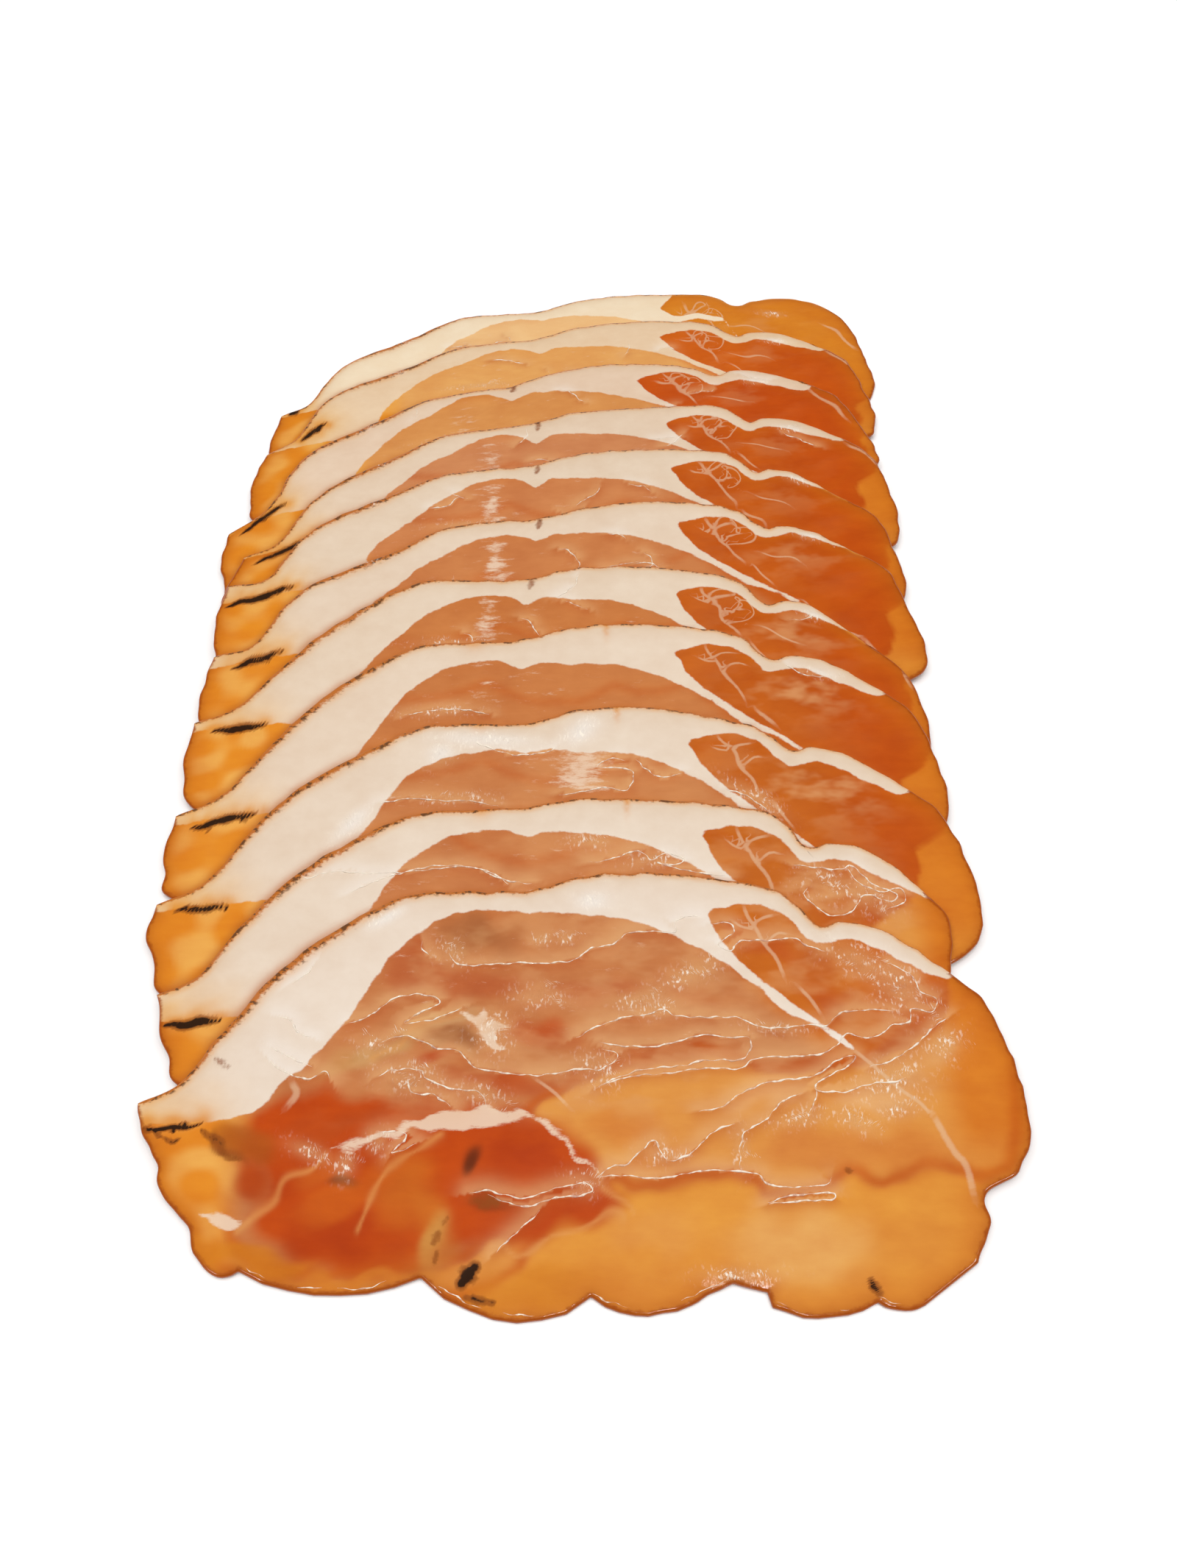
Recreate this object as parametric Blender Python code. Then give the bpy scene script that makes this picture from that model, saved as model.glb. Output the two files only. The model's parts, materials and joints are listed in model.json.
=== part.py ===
"""Serrano ham: a row of thin slices laid like roof tiles, each over the next one behind it.

Every slice is its own closed solid. All of them are cut from one ham, so they share an
outline, and each is laid a little further back, a little turned, and a little different
at its shoulders and end lobes. Their heights come from one common surface, which climbs by
one layer from the front edge of each slice to the front edge of the slice behind it. A
slice is that surface lowered by the layers of the slices in front of it, so neighbours
stay parallel and a small gap apart, and each slice comes down to the table at its front.

X is across the row, +Y runs from the front slice to the back one, +Z is up, in metres.
"""

import math
from typing import NamedTuple

import bmesh
import bpy
import numpy as np
from mathutils import Vector
from mathutils.geometry import delaunay_2d_cdt

MM = 0.001

# One slice, in millimetres.
SLICE_THICKNESS = 1.1
LAYER_GAP = 0.3
LAYER = SLICE_THICKNESS + LAYER_GAP
OUTLINE_POINTS = 96
LATTICE_SPACING = 12.0
LATTICE_MARGIN = 4.5


class Lay(NamedTuple):
    """How a slice lies, in millimetres and degrees, and how it differs from the others.

    across and along place the small step in the slice's rind. The last five are how far
    the shoulders, the end lobes and the left tip swell out of the shared outline.
    """

    across: float
    along: float
    turn: float
    left_shoulder: float = 0.0
    right_shoulder: float = 0.0
    left_lobe: float = 0.0
    right_lobe: float = 0.0
    left_tip: float = 0.0


# The row, from the front slice to the back one.
ROW = (
    Lay(-14.0, 139.5, 0.0),
    Lay(-14.0, 163.5, -1.0, 1.5, 0.0, 1.0, -12.0, 1.0),
    Lay(-16.0, 192.0, 0.5, 2.5, 0.0, 12.5, 1.0, 0.5),
    Lay(-18.5, 222.0, 2.5, 0.0, 0.0, 15.0, -1.0, 0.5),
    Lay(-17.5, 246.5, 1.0, 2.5, -4.0, 13.5, -2.0, 3.5),
    Lay(-15.5, 272.0, 6.0, 10.0, -4.0, 22.5, -4.0, 9.5),
    Lay(-16.5, 297.5, 6.0, 10.0, -4.0, 21.5, -5.0, 12.0),
    Lay(-17.0, 320.0, 8.5, 9.0, 0.0, 25.5, -4.0, 7.0),
    Lay(-26.0, 342.0, 12.0, 11.0, 2.0, 25.0, 0.0, 1.0),
    Lay(-17.0, 371.5, 9.0, 13.0, 0.0, 26.5, -5.0, 5.0),
    Lay(-16.0, 391.0, 8.5, 12.0, 9.0, 23.0, -4.0, 6.5),
)

# The swells of a Lay, in its order: where each is centred, which way it pushes the
# outline, and how wide it is.
SWELLS = (
    ((-72.0, -28.0), (-0.7, 0.7), 24.0),
    ((100.0, -14.0), (0.6, 0.8), 24.0),
    ((-84.0, -68.0), (-0.9, -0.3), 19.0),
    ((113.0, -50.0), (1.0, 0.0), 26.0),
    ((-90.0, -50.0), (0.0, 1.0), 13.0),
)
WAVE_HEIGHT = 0.5
WAVES_ROUND = (5, 8, 11)

# The shared outline, clockwise from the left tip, with its origin at the step in the rind.
RIND_EDGE = (
    (-88.5, -48.5), (-79.5, -43.5), (-72.0, -31.5), (-60.5, -16.0), (-46.5, -4.5),
    (-31.0, 4.0), (-14.0, 5.2), (-1.0, 5.4), (13.5, 9.3), (32.0, 10.2), (51.0, 8.0),
    (63.0, 4.5), (71.0, -4.0), (76.8, -3.0), (87.2, -5.8), (101.0, -16.4),
)
RIGHT_SIDE = (
    (108.5, -24.0), (112.4, -36.0), (114.0, -53.0), (109.5, -63.5), (101.5, -68.5),
    (101.0, -75.0), (96.5, -83.6),
)
FRONT_NOTCHES = (
    (84.5, -90.8), (74.6, -90.2), (52.3, -91.0), (51.6, -88.2), (44.6, -86.6),
    (35.5, -90.4), (14.5, -89.4), (-21.5, -85.4), (-60.5, -84.2), (-68.0, -83.4),
)
FRONT_LOBE_DEPTHS = (1.4, 2.8, 0.0, 0.3, 0.0, 3.0, 6.6, 4.2, 1.6)
LEFT_SIDE = (
    (-70.6, -80.5), (-73.0, -75.0), (-80.0, -68.0), (-81.8, -62.0), (-86.0, -56.0),
)
SPLINE_STEPS = 8
LOBE_STEPS = 7

# Long, low swells of the whole row. There is none under the back slice, which lies flat.
RIPPLE_HEIGHT = 0.5
RIPPLE_ACROSS = 74.0
RIPPLE_ALONG = 118.0
RIPPLE_GROWS_OVER = 30.0
SLICES_TO_FULL_RIPPLE = 4

LEAN_COLOUR = (0.47, 0.16, 0.06)
LIGHTER_EACH_SLICE = 0.04
MOIST_ROUGHNESS = 0.35


def clear_scene():
    """Remove every object that the file opens with."""
    for obj in list(bpy.data.objects):
        bpy.data.objects.remove(obj, do_unlink=True)


def spline(points):
    """Catmull-Rom curve through an open list of points, up to but without the last one."""
    p = np.asarray(points, float)
    p = np.vstack([2 * p[0] - p[1], p, 2 * p[-1] - p[-2]])
    t = np.linspace(0.0, 1.0, SPLINE_STEPS, endpoint=False)[:, None]
    pieces = []
    for a, b, c, d in zip(p, p[1:], p[2:], p[3:]):
        curve = 2 * b + (c - a) * t
        curve = curve + (2 * a - 5 * b + 4 * c - d) * t**2
        curve = curve + (3 * b - a - 3 * c + d) * t**3
        pieces.append(0.5 * curve)
    return np.vstack(pieces)


def front_edge():
    """The scalloped front edge, from right to left: a rounded lobe from notch to notch."""
    notches = np.asarray(FRONT_NOTCHES, float)
    u = np.linspace(0.0, 1.0, LOBE_STEPS, endpoint=False)
    pieces = []
    for a, b, depth in zip(notches, notches[1:], FRONT_LOBE_DEPTHS):
        lobe = a + (b - a) * u[:, None]
        lobe[:, 1] -= depth * np.sin(math.pi * u) ** 0.75
        pieces.append(lobe)
    return np.vstack(pieces + [notches[-1:]])


def shared_outline():
    """The closed outline that all slices start from, in the slice's own frame."""
    back_and_right = spline(RIND_EDGE + RIGHT_SIDE)
    left = spline(LEFT_SIDE + RIND_EDGE[:1])
    return np.vstack([back_and_right, front_edge(), left])


def evenly_spaced(points, count):
    """A closed outline again, with count evenly spaced points."""
    closed = np.vstack([points, points[:1]])
    lengths = np.linalg.norm(np.diff(closed, axis=0), axis=1)
    reached = np.concatenate([[0.0], np.cumsum(lengths)])
    at = np.linspace(0.0, reached[-1], count, endpoint=False)
    return np.stack([np.interp(at, reached, closed[:, axis]) for axis in (0, 1)], axis=1)


def slice_outline(index):
    """The outline of one slice in its own frame: the shared one with this slice's swells."""
    outline = shared_outline()
    pushed = outline.copy()
    swellings = ROW[index][3:]
    for swelling, (centre, way, width) in zip(swellings, SWELLS):
        away = np.linalg.norm(outline - centre, axis=1)
        pushed += np.outer(swelling * np.exp(-((away / width) ** 2)), way)
    around = np.linspace(0.0, 2 * math.pi, len(outline), endpoint=False)
    wave = sum(
        math.cos(2.1 * index + n) * np.sin(n * around + 1.7 * index * n) for n in WAVES_ROUND
    )
    outward = outline - outline.mean(axis=0)
    outward /= np.linalg.norm(outward, axis=1)[:, None]
    if index:
        pushed += outward * wave[:, None] * WAVE_HEIGHT
    return evenly_spaced(pushed, OUTLINE_POINTS)


def in_row(points, index):
    """Points of a slice's own frame, in the frame of the row."""
    lay = ROW[index]
    c = math.cos(math.radians(lay.turn))
    s = math.sin(math.radians(lay.turn))
    return points @ np.array([[c, s], [-s, c]]) + (lay.across, lay.along)


def front_lines(outlines, x):
    """How far forward each slice reaches at x, from the front slice to the back one.

    The front of a slice is taken as a straight line through its foremost point, so that
    the common surface has no scallops in it.
    """
    lines = []
    for lay, outline in zip(ROW, outlines):
        slope = math.tan(math.radians(lay.turn))
        foremost = np.min(outline[:, 1] - slope * (outline[:, 0] - lay.across))
        lines.append(foremost + slope * (x - lay.across))
    return np.array(lines)


def climb(y, fronts):
    """Height of the common surface at y, for the front lines at the same x.

    It climbs one layer from each line to the next, as a smooth curve that never dips, and
    it stays level behind the last line.
    """
    if y <= fronts[0]:
        return 0.0
    if y >= fronts[-1]:
        return LAYER * (len(fronts) - 1)
    steps = np.diff(fronts)
    slopes = LAYER / steps
    tangents = np.zeros(len(fronts))
    tangents[1:-1] = 2 * slopes[1:] * slopes[:-1] / (slopes[1:] + slopes[:-1])
    i = int(np.searchsorted(fronts, y, side="right")) - 1
    t = (y - fronts[i]) / steps[i]
    rise = t * t * (3 - 2 * t) * LAYER
    rise += (t**3 - 2 * t**2 + t) * steps[i] * tangents[i]
    rise += (t**3 - t**2) * steps[i] * tangents[i + 1]
    return i * LAYER + rise


def underside(point, index, outlines):
    """Height of a slice's lower face over a point of the row."""
    x, y = point
    fronts = front_lines(outlines, x)
    lift = max(0.0, climb(y, fronts) - LAYER * index)
    across = math.sin(2 * math.pi * x / RIPPLE_ACROSS + 0.6)
    along = math.sin(2 * math.pi * y / RIPPLE_ALONG + 0.4)
    share = min(1.0, (len(ROW) - 1 - index) / SLICES_TO_FULL_RIPPLE)
    grown = min(1.0, max(0.0, (y - fronts[index]) / RIPPLE_GROWS_OVER))
    return lift + RIPPLE_HEIGHT * share * grown * 0.5 * (1 + across * along)


def distance_inside(point, outline):
    """Distance from a point to the outline, or -1 where the point is outside it."""
    a = outline
    b = np.roll(outline, -1, axis=0)
    crosses = (a[:, 1] > point[1]) != (b[:, 1] > point[1])
    rise = np.where(crosses, b[:, 1] - a[:, 1], 1.0)
    at = a[:, 0] + (point[1] - a[:, 1]) * (b[:, 0] - a[:, 0]) / rise
    if np.count_nonzero(crosses & (point[0] < at)) % 2 == 0:
        return -1.0
    span = b - a
    share = np.clip(((point - a) * span).sum(axis=1) / (span**2).sum(axis=1), 0, 1)
    return float(np.linalg.norm(a + span * share[:, None] - point, axis=1).min())


def lattice_inside(outline):
    """Points of a triangular lattice, fixed to the row, that are well inside the outline."""
    low = outline.min(axis=0)
    high = outline.max(axis=0)
    row_spacing = LATTICE_SPACING * math.sqrt(3) / 2
    found = []
    for j in range(math.floor(low[1] / row_spacing), math.ceil(high[1] / row_spacing)):
        shift = 0.5 * (j % 2)
        for i in range(
            math.floor(low[0] / LATTICE_SPACING) - 1, math.ceil(high[0] / LATTICE_SPACING)
        ):
            point = np.array([(i + shift) * LATTICE_SPACING, j * row_spacing])
            if distance_inside(point, outline) > LATTICE_MARGIN:
                found.append(point)
    return np.array(found)


def make_slice(index, outlines, centre):
    """One closed slice: its lower face as triangles, extruded up by the slice's thickness."""
    outline = outlines[index]
    flat = np.vstack([outline, lattice_inside(outline)])
    border = list(range(len(outline)))
    points, _, triangles, *_ = delaunay_2d_cdt([Vector(p) for p in flat], [], [border], 1, 1e-5)
    lay = ROW[index]
    turn = math.radians(lay.turn)
    place = Vector((lay.across - centre[0], lay.along - centre[1], 0.0)) * MM
    c = math.cos(turn)
    s = math.sin(turn)

    bm = bmesh.new()
    for x, y in points:
        dx = x - lay.across
        dy = y - lay.along
        height = underside((x, y), index, outlines)
        bm.verts.new(Vector((dx * c + dy * s, dy * c - dx * s, height)) * MM)
    bm.verts.ensure_lookup_table()
    for corners in triangles:
        bm.faces.new([bm.verts[corner] for corner in corners])
    extruded = bmesh.ops.extrude_face_region(bm, geom=bm.faces[:])
    raised = [item for item in extruded["geom"] if isinstance(item, bmesh.types.BMVert)]
    bmesh.ops.translate(bm, verts=raised, vec=Vector((0.0, 0.0, SLICE_THICKNESS * MM)))
    bm.normal_update()
    if bm.calc_volume(signed=True) < 0:
        bmesh.ops.reverse_faces(bm, faces=bm.faces[:])

    name = f"slice_{index + 1:02d}"
    mesh = bpy.data.meshes.new(name)
    bm.to_mesh(mesh)
    bm.free()
    mesh.materials.append(ham_material(name, index))
    obj = bpy.data.objects.new(name, mesh)
    bpy.context.scene.collection.objects.link(obj)
    obj.location = place
    obj.rotation_euler.z = turn
    mesh.shade_smooth()
    mesh.set_sharp_from_angle(angle=math.radians(40))


def ham_material(name, index):
    """Moist cured ham, one material for each slice, a little lighter towards the back."""
    material = bpy.data.materials.new(name)
    material.use_nodes = True
    shader = material.node_tree.nodes["Principled BSDF"]
    lighter = 1.0 + LIGHTER_EACH_SLICE * index
    shader.inputs["Base Color"].default_value = [c * lighter for c in LEAN_COLOUR] + [1.0]
    shader.inputs["Roughness"].default_value = MOIST_ROUGHNESS
    shader.inputs["Metallic"].default_value = 0.0
    return material


def main():
    """Lay the whole row, centred over the origin."""
    clear_scene()
    outlines = [in_row(slice_outline(index), index) for index in range(len(ROW))]
    every = np.vstack(outlines)
    centre = (every.min(axis=0) + every.max(axis=0)) / 2
    for index in range(len(ROW)):
        make_slice(index, outlines, centre)


main()
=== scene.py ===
"""Serrano ham, cut thin and laid in a row like roof tiles under clinging film.

Each packed slice is replaced by a finely meshed one of the same outline and place. All
slices are cut from one ham, so they share a pattern of fat, lean, seams and veins, which
is drawn as curves in the slice's own frame and handed to the material as distances from
those curves. Light shines through a slice, so its colour also depends on how many others
lie under it. The clear film is a glossy coat with raised creases on what lies bare.

Lengths in the making are millimetres. A slice's own frame has its origin at the small step
in the rind, u across the row and v towards the back. The frame of the row is x across and
y towards the back, and its centre becomes the origin of the model, in metres.
"""

from __future__ import annotations

import json
import logging
import math
from dataclasses import dataclass, field
from enum import Enum
from functools import partial
from typing import Any, Callable, Sequence

import bpy
import numpy as np
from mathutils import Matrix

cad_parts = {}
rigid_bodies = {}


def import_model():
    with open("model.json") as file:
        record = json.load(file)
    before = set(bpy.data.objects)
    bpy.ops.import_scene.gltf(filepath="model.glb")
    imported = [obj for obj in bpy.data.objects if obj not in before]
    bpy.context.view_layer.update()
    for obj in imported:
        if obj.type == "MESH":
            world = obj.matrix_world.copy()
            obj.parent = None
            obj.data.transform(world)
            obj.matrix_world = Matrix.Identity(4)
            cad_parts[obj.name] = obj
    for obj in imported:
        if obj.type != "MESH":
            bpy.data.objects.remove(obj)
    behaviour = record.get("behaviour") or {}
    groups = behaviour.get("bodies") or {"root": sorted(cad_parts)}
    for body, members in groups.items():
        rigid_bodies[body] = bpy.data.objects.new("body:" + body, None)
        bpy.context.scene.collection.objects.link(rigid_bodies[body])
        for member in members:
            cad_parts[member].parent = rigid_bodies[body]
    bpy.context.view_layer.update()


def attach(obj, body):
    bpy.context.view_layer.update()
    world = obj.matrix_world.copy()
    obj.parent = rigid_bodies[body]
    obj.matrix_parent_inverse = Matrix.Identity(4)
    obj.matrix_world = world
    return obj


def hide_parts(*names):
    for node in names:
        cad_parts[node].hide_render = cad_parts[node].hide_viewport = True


LOG = logging.getLogger("serrano_ham")
MM = 0.001
Points = np.ndarray
Values = np.ndarray
Curve = Sequence[tuple[float, float]]
Patch = tuple[float, float, float, float, float]
Socket = bpy.types.NodeSocket


def smooth(values: Values, low: float, high: float) -> Values:
    """Smooth step: 0 at low and below, 1 at high and above, with level ends."""
    t = np.clip((values - low) / (high - low), 0.0, 1.0)
    return t * t * (3.0 - 2.0 * t)


def bell(values: Values, centre: float, width: float | Values) -> Values:
    """Bell curve of height 1: e to the power of minus ((value - centre) / width) squared."""
    return np.exp(-(((values - centre) / width) ** 2))


def catmull_rom(points: Curve, steps: int = 8) -> Points:
    """Catmull-Rom curve through an open list of points, up to but without the last one.

    Each piece is the cubic 0.5 (2b + (c-a)t + (2a-5b+4c-d)t^2 + (3b-a-3c+d)t^3).

    Args:
        points: the points that it passes through.
        steps: how many points it gets in each piece.

    Returns:
        The points of the curve, one row each.
    """
    p = np.asarray(points, float)
    p = np.vstack([2 * p[0] - p[1], p, 2 * p[-1] - p[-2]])
    a, b, c, d = (p[i : len(p) - 3 + i, None] for i in range(4))
    t = np.linspace(0.0, 1.0, steps, endpoint=False)[None, :, None]
    curve = 2 * b + (c - a) * t
    curve = curve + (2 * a - 5 * b + 4 * c - d) * t**2
    curve = curve + (3 * b - a - 3 * c + d) * t**3
    return 0.5 * curve.reshape(-1, 2)


def whole_curve(points: Curve, steps: int = 6) -> Points:
    """The same curve with its last point, for an open line."""
    return np.vstack([catmull_rom(points, steps), np.asarray(points[-1:], float)])


@dataclass(frozen=True)
class Nearest:
    """What a line is to each of many points.

    Attributes:
        distance: how far the line is.
        side: +1 where the point is left of the line's run, and -1 where it is right.
        inside: whether the point is inside the line, where that is closed.
        place: the index of the nearest segment.
    """

    distance: Values
    side: Values
    inside: Values
    place: Values


def nearest_on(points: Points, line: Points, closed: bool) -> Nearest:
    """Finds the nearest place on a line of straight segments for each point.

    The foot on a segment is its start plus its span times a share from 0 to 1, and the
    point is inside a closed line if a ray from it crosses the line an odd number of times.

    Args:
        points: the points, one row each.
        line: the corners of the line, one row each.
        closed: whether the last corner is joined to the first.

    Returns:
        The distance, side, inside test and segment for each point.
    """
    starts = line if closed else line[:-1]
    ends = np.roll(line, -1, axis=0) if closed else line[1:]
    best = np.full(len(points), np.inf)
    side = np.ones(len(points))
    place = np.zeros(len(points), int)
    crossings = np.zeros(len(points), int)
    rows = np.arange(len(points))
    block = 16
    for first in range(0, len(starts), block):
        a = starts[first : first + block]
        span = ends[first : first + block] - a
        x = points[:, 0, None] - a[:, 0]
        y = points[:, 1, None] - a[:, 1]
        length = (span**2).sum(axis=1)
        share = np.clip((x * span[:, 0] + y * span[:, 1]) / length, 0.0, 1.0)
        gap_x = x - share * span[:, 0]
        gap_y = y - share * span[:, 1]
        gap = gap_x**2 + gap_y**2
        pick = gap.argmin(axis=1)
        found = gap[rows, pick]
        turn = span[pick, 0] * y[rows, pick] - span[pick, 1] * x[rows, pick]
        closer = found < best
        best = np.where(closer, found, best)
        side = np.where(closer, np.where(turn >= 0, 1.0, -1.0), side)
        place = np.where(closer, pick + first, place)
        steep = np.where(span[:, 1] == 0, 1.0, span[:, 1])
        spans = (y < 0) != (y < span[:, 1])
        crossings += np.count_nonzero(spans & (x < y * span[:, 0] / steep), axis=1)
    return Nearest(np.sqrt(best), side, crossings % 2 == 1, place)


def near_line(points: Points, line: Points, reach: float) -> tuple[np.ndarray, Nearest]:
    """Which points are within reach of an open line's box, and where each is nearest on it."""
    low = line.min(axis=0) - reach
    high = line.max(axis=0) + reach
    close = np.flatnonzero(((points > low) & (points < high)).all(axis=1))
    return close, nearest_on(points[close], line, closed=False)


def depth_inside(points: Points, outline: Points, reach: float) -> Values:
    """How deep each point is inside a closed outline, negative outside, cut off at -reach."""
    low = outline.min(axis=0) - reach
    high = outline.max(axis=0) + reach
    near = ((points > low) & (points < high)).all(axis=1)
    depth = np.full(len(points), -reach)
    if near.any():
        found = nearest_on(points[near], outline, closed=True)
        depth[near] = np.where(found.inside, found.distance, -found.distance)
    return np.maximum(depth, -reach)


def unit(angle: float | Values) -> np.ndarray:
    """The vector, or vectors, of length 1 at an angle in radians."""
    return np.array([np.cos(angle), np.sin(angle)])


def waves(points: Points, length: float, seed: int, count: int = 7) -> Values:
    """A sum of sine waves of about one length in all directions, from about -1 to 1.

    Args:
        points: where it is wanted.
        length: the length of a wave.
        seed: which of the many such patterns.
        count: how many waves are added.

    Returns:
        The height at each point.
    """
    rng = np.random.default_rng(seed)
    way = rng.uniform(0, math.pi, count)
    size = 2 * math.pi / (length * rng.uniform(0.7, 1.4, count))
    phase = rng.uniform(0, 2 * math.pi, count)
    across = np.outer(points[:, 0], np.cos(way) * size)
    along = np.outer(points[:, 1], np.sin(way) * size)
    return np.sin(across + along + phase).sum(axis=1) / math.sqrt(2 * count)


def bent(points: Points, length: float, seed: int, height: float) -> Points:
    """Points moved about by waves of about one length across, and a little less along.

    Args:
        points: the points to move.
        length: the length of a wave, in millimetres.
        seed: which of the many such patterns.
        height: how far a wave of height 1 moves a point.

    Returns:
        The moved points.
    """
    across = waves(points, length, seed)
    along = waves(points, length - 1.0, seed + 1)
    return points + np.stack([across, along], axis=1) * height


def square_reach(points: Points, patch: Patch) -> Values:
    """How far points are from an ellipse's middle, in its own half lengths, squared.

    It is (a / across)^2 + (b / along)^2, where a and b are a point's place along the
    ellipse's own axes.

    Args:
        points: the points.
        patch: the middle, the half lengths across and along, and the turn in degrees.

    Returns:
        The squared reach, which is 1 on the ellipse.
    """
    x, y, across, along, turn = patch
    c = math.cos(math.radians(turn))
    s = math.sin(math.radians(turn))
    dx = points[:, 0] - x
    dy = points[:, 1] - y
    return ((dx * c + dy * s) / across) ** 2 + ((dy * c - dx * s) / along) ** 2


def for_slice(values: Sequence[Any], index: int) -> Any:
    """The value listed for a slice, or the last one for a slice behind those listed."""
    return values[min(index, len(values) - 1)]


@dataclass(frozen=True)
class Lay:
    """How one slice lies, how its cut differs from the others, and its own colours.

    Attributes:
        across: where the step in its rind is, across the row.
        along: where that step is, towards the back.
        turn: how far it is turned, in degrees.
        swells: how far its shoulders, end lobes and left tip swell out of the shared outline.
        rises: how far the lean's upper edge rises left of the step, at it and right of it.
        flank: how much further the lean reaches left, all along its flank and half-way down.
        cleft: the middle of the dark cleft at its left tip, half its length and its slope.
        lean: the colour of its middle lean.
        muscle: the colour of its right muscle.
        fat: the colour of its fat.
    """

    across: float
    along: float
    turn: float
    swells: tuple[float, float, float, float, float]
    rises: tuple[float, float, float]
    flank: tuple[float, float]
    cleft: tuple[float, float, float, float]
    lean: str
    muscle: str
    fat: str

    @property
    def tip_rise(self) -> float:
        """How far the left tip of the fat is above that of the front slice."""
        return min(self.cleft[1] + 54.2, 13.0)


ROW = (
    Lay(
        -14, 139.5, 0, (0, 0, 0, 0, 0), (0, 0, 0),
        (0, 0), (-79.4, -54.2, 6.2, 0.07), "#C17543", "#C46519", "#E6D3C0",
    ),
    Lay(
        -14, 163.5, -1, (1.5, 0, 1, -12, 1), (-1, -1.6, 0),
        (0, 0), (-79, -54.4, 6.4, 0.13), "#C57946", "#C0631B", "#E5D1BC",
    ),
    Lay(
        -16, 192, 0.5, (2.5, 0, 12.5, 1, 0.5), (-4.2, -2, -2.8),
        (0, 0), (-82, -50, 6.5, 0), "#C67B47", "#BF5F1A", "#E4CFB9",
    ),
    Lay(
        -18.5, 222, 2.5, (0, 0, 15, -1, 0.5), (-2.2, -3, -2.6),
        (0, 1), (-80, -51.6, 8.2, 0.25), "#C47640", "#BE5B18", "#E4CEB7",
    ),
    Lay(
        -17.5, 246.5, 1, (2.5, -4, 13.5, -2, 3.5), (-1.2, -3.2, -1.4),
        (1, 4), (-80.5, -48.2, 7, 0.16), "#C4753D", "#BE5916", "#E3CDB5",
    ),
    Lay(
        -15.5, 272, 6, (10, -4, 22.5, -4, 9.5), (-0.2, -2.4, -0.4),
        (5, 7), (-85, -42, 6.6, 0.34), "#C77A46", "#BF5612", "#E3CCB4",
    ),
    Lay(
        -16.5, 297.5, 6, (10, -4, 21.5, -5, 12), (0, -4.2, -1),
        (3.5, 9), (-87, -42, 9.5, 0.3), "#CA7E4B", "#BF5612", "#E2CBB2",
    ),
    Lay(
        -17, 320, 8.5, (9, 0, 25.5, -4, 7), (1.2, -4.4, -0.4),
        (8, 5), (-84.4, -41, 9.5, 0.5), "#CC8454", "#C05411", "#E2C9AF",
    ),
    Lay(
        -26, 342, 12, (11, 2, 25, 0, 1), (3.2, -3.4, 1),
        (10, 5), (-88.4, -43.4, 7.2, 0.7), "#D58F4E", "#C24F0E", "#E3C7AC",
    ),
    Lay(
        -17, 371.5, 9, (13, 0, 26.5, -5, 5), (0.6, -3, -0.6),
        (11, 6), (-83, -34.6, 4.2, 0.87), "#E09F59", "#CA5C11", "#E6C8A5",
    ),
    Lay(
        -16, 391, 8.5, (12, 9, 23, -4, 6.5), (0.4, -1, 1),
        (4, 2), (-93.4, -41.2, 1.6, 0.4), "#ECBB80", "#D57E20", "#F0DABA",
    ),
)

THICKNESS = 1.1
LAYER_GAP = 0.3
LAYER = THICKNESS + LAYER_GAP
FINE_SPACING = 0.62
SPACING = 1.05


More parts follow.
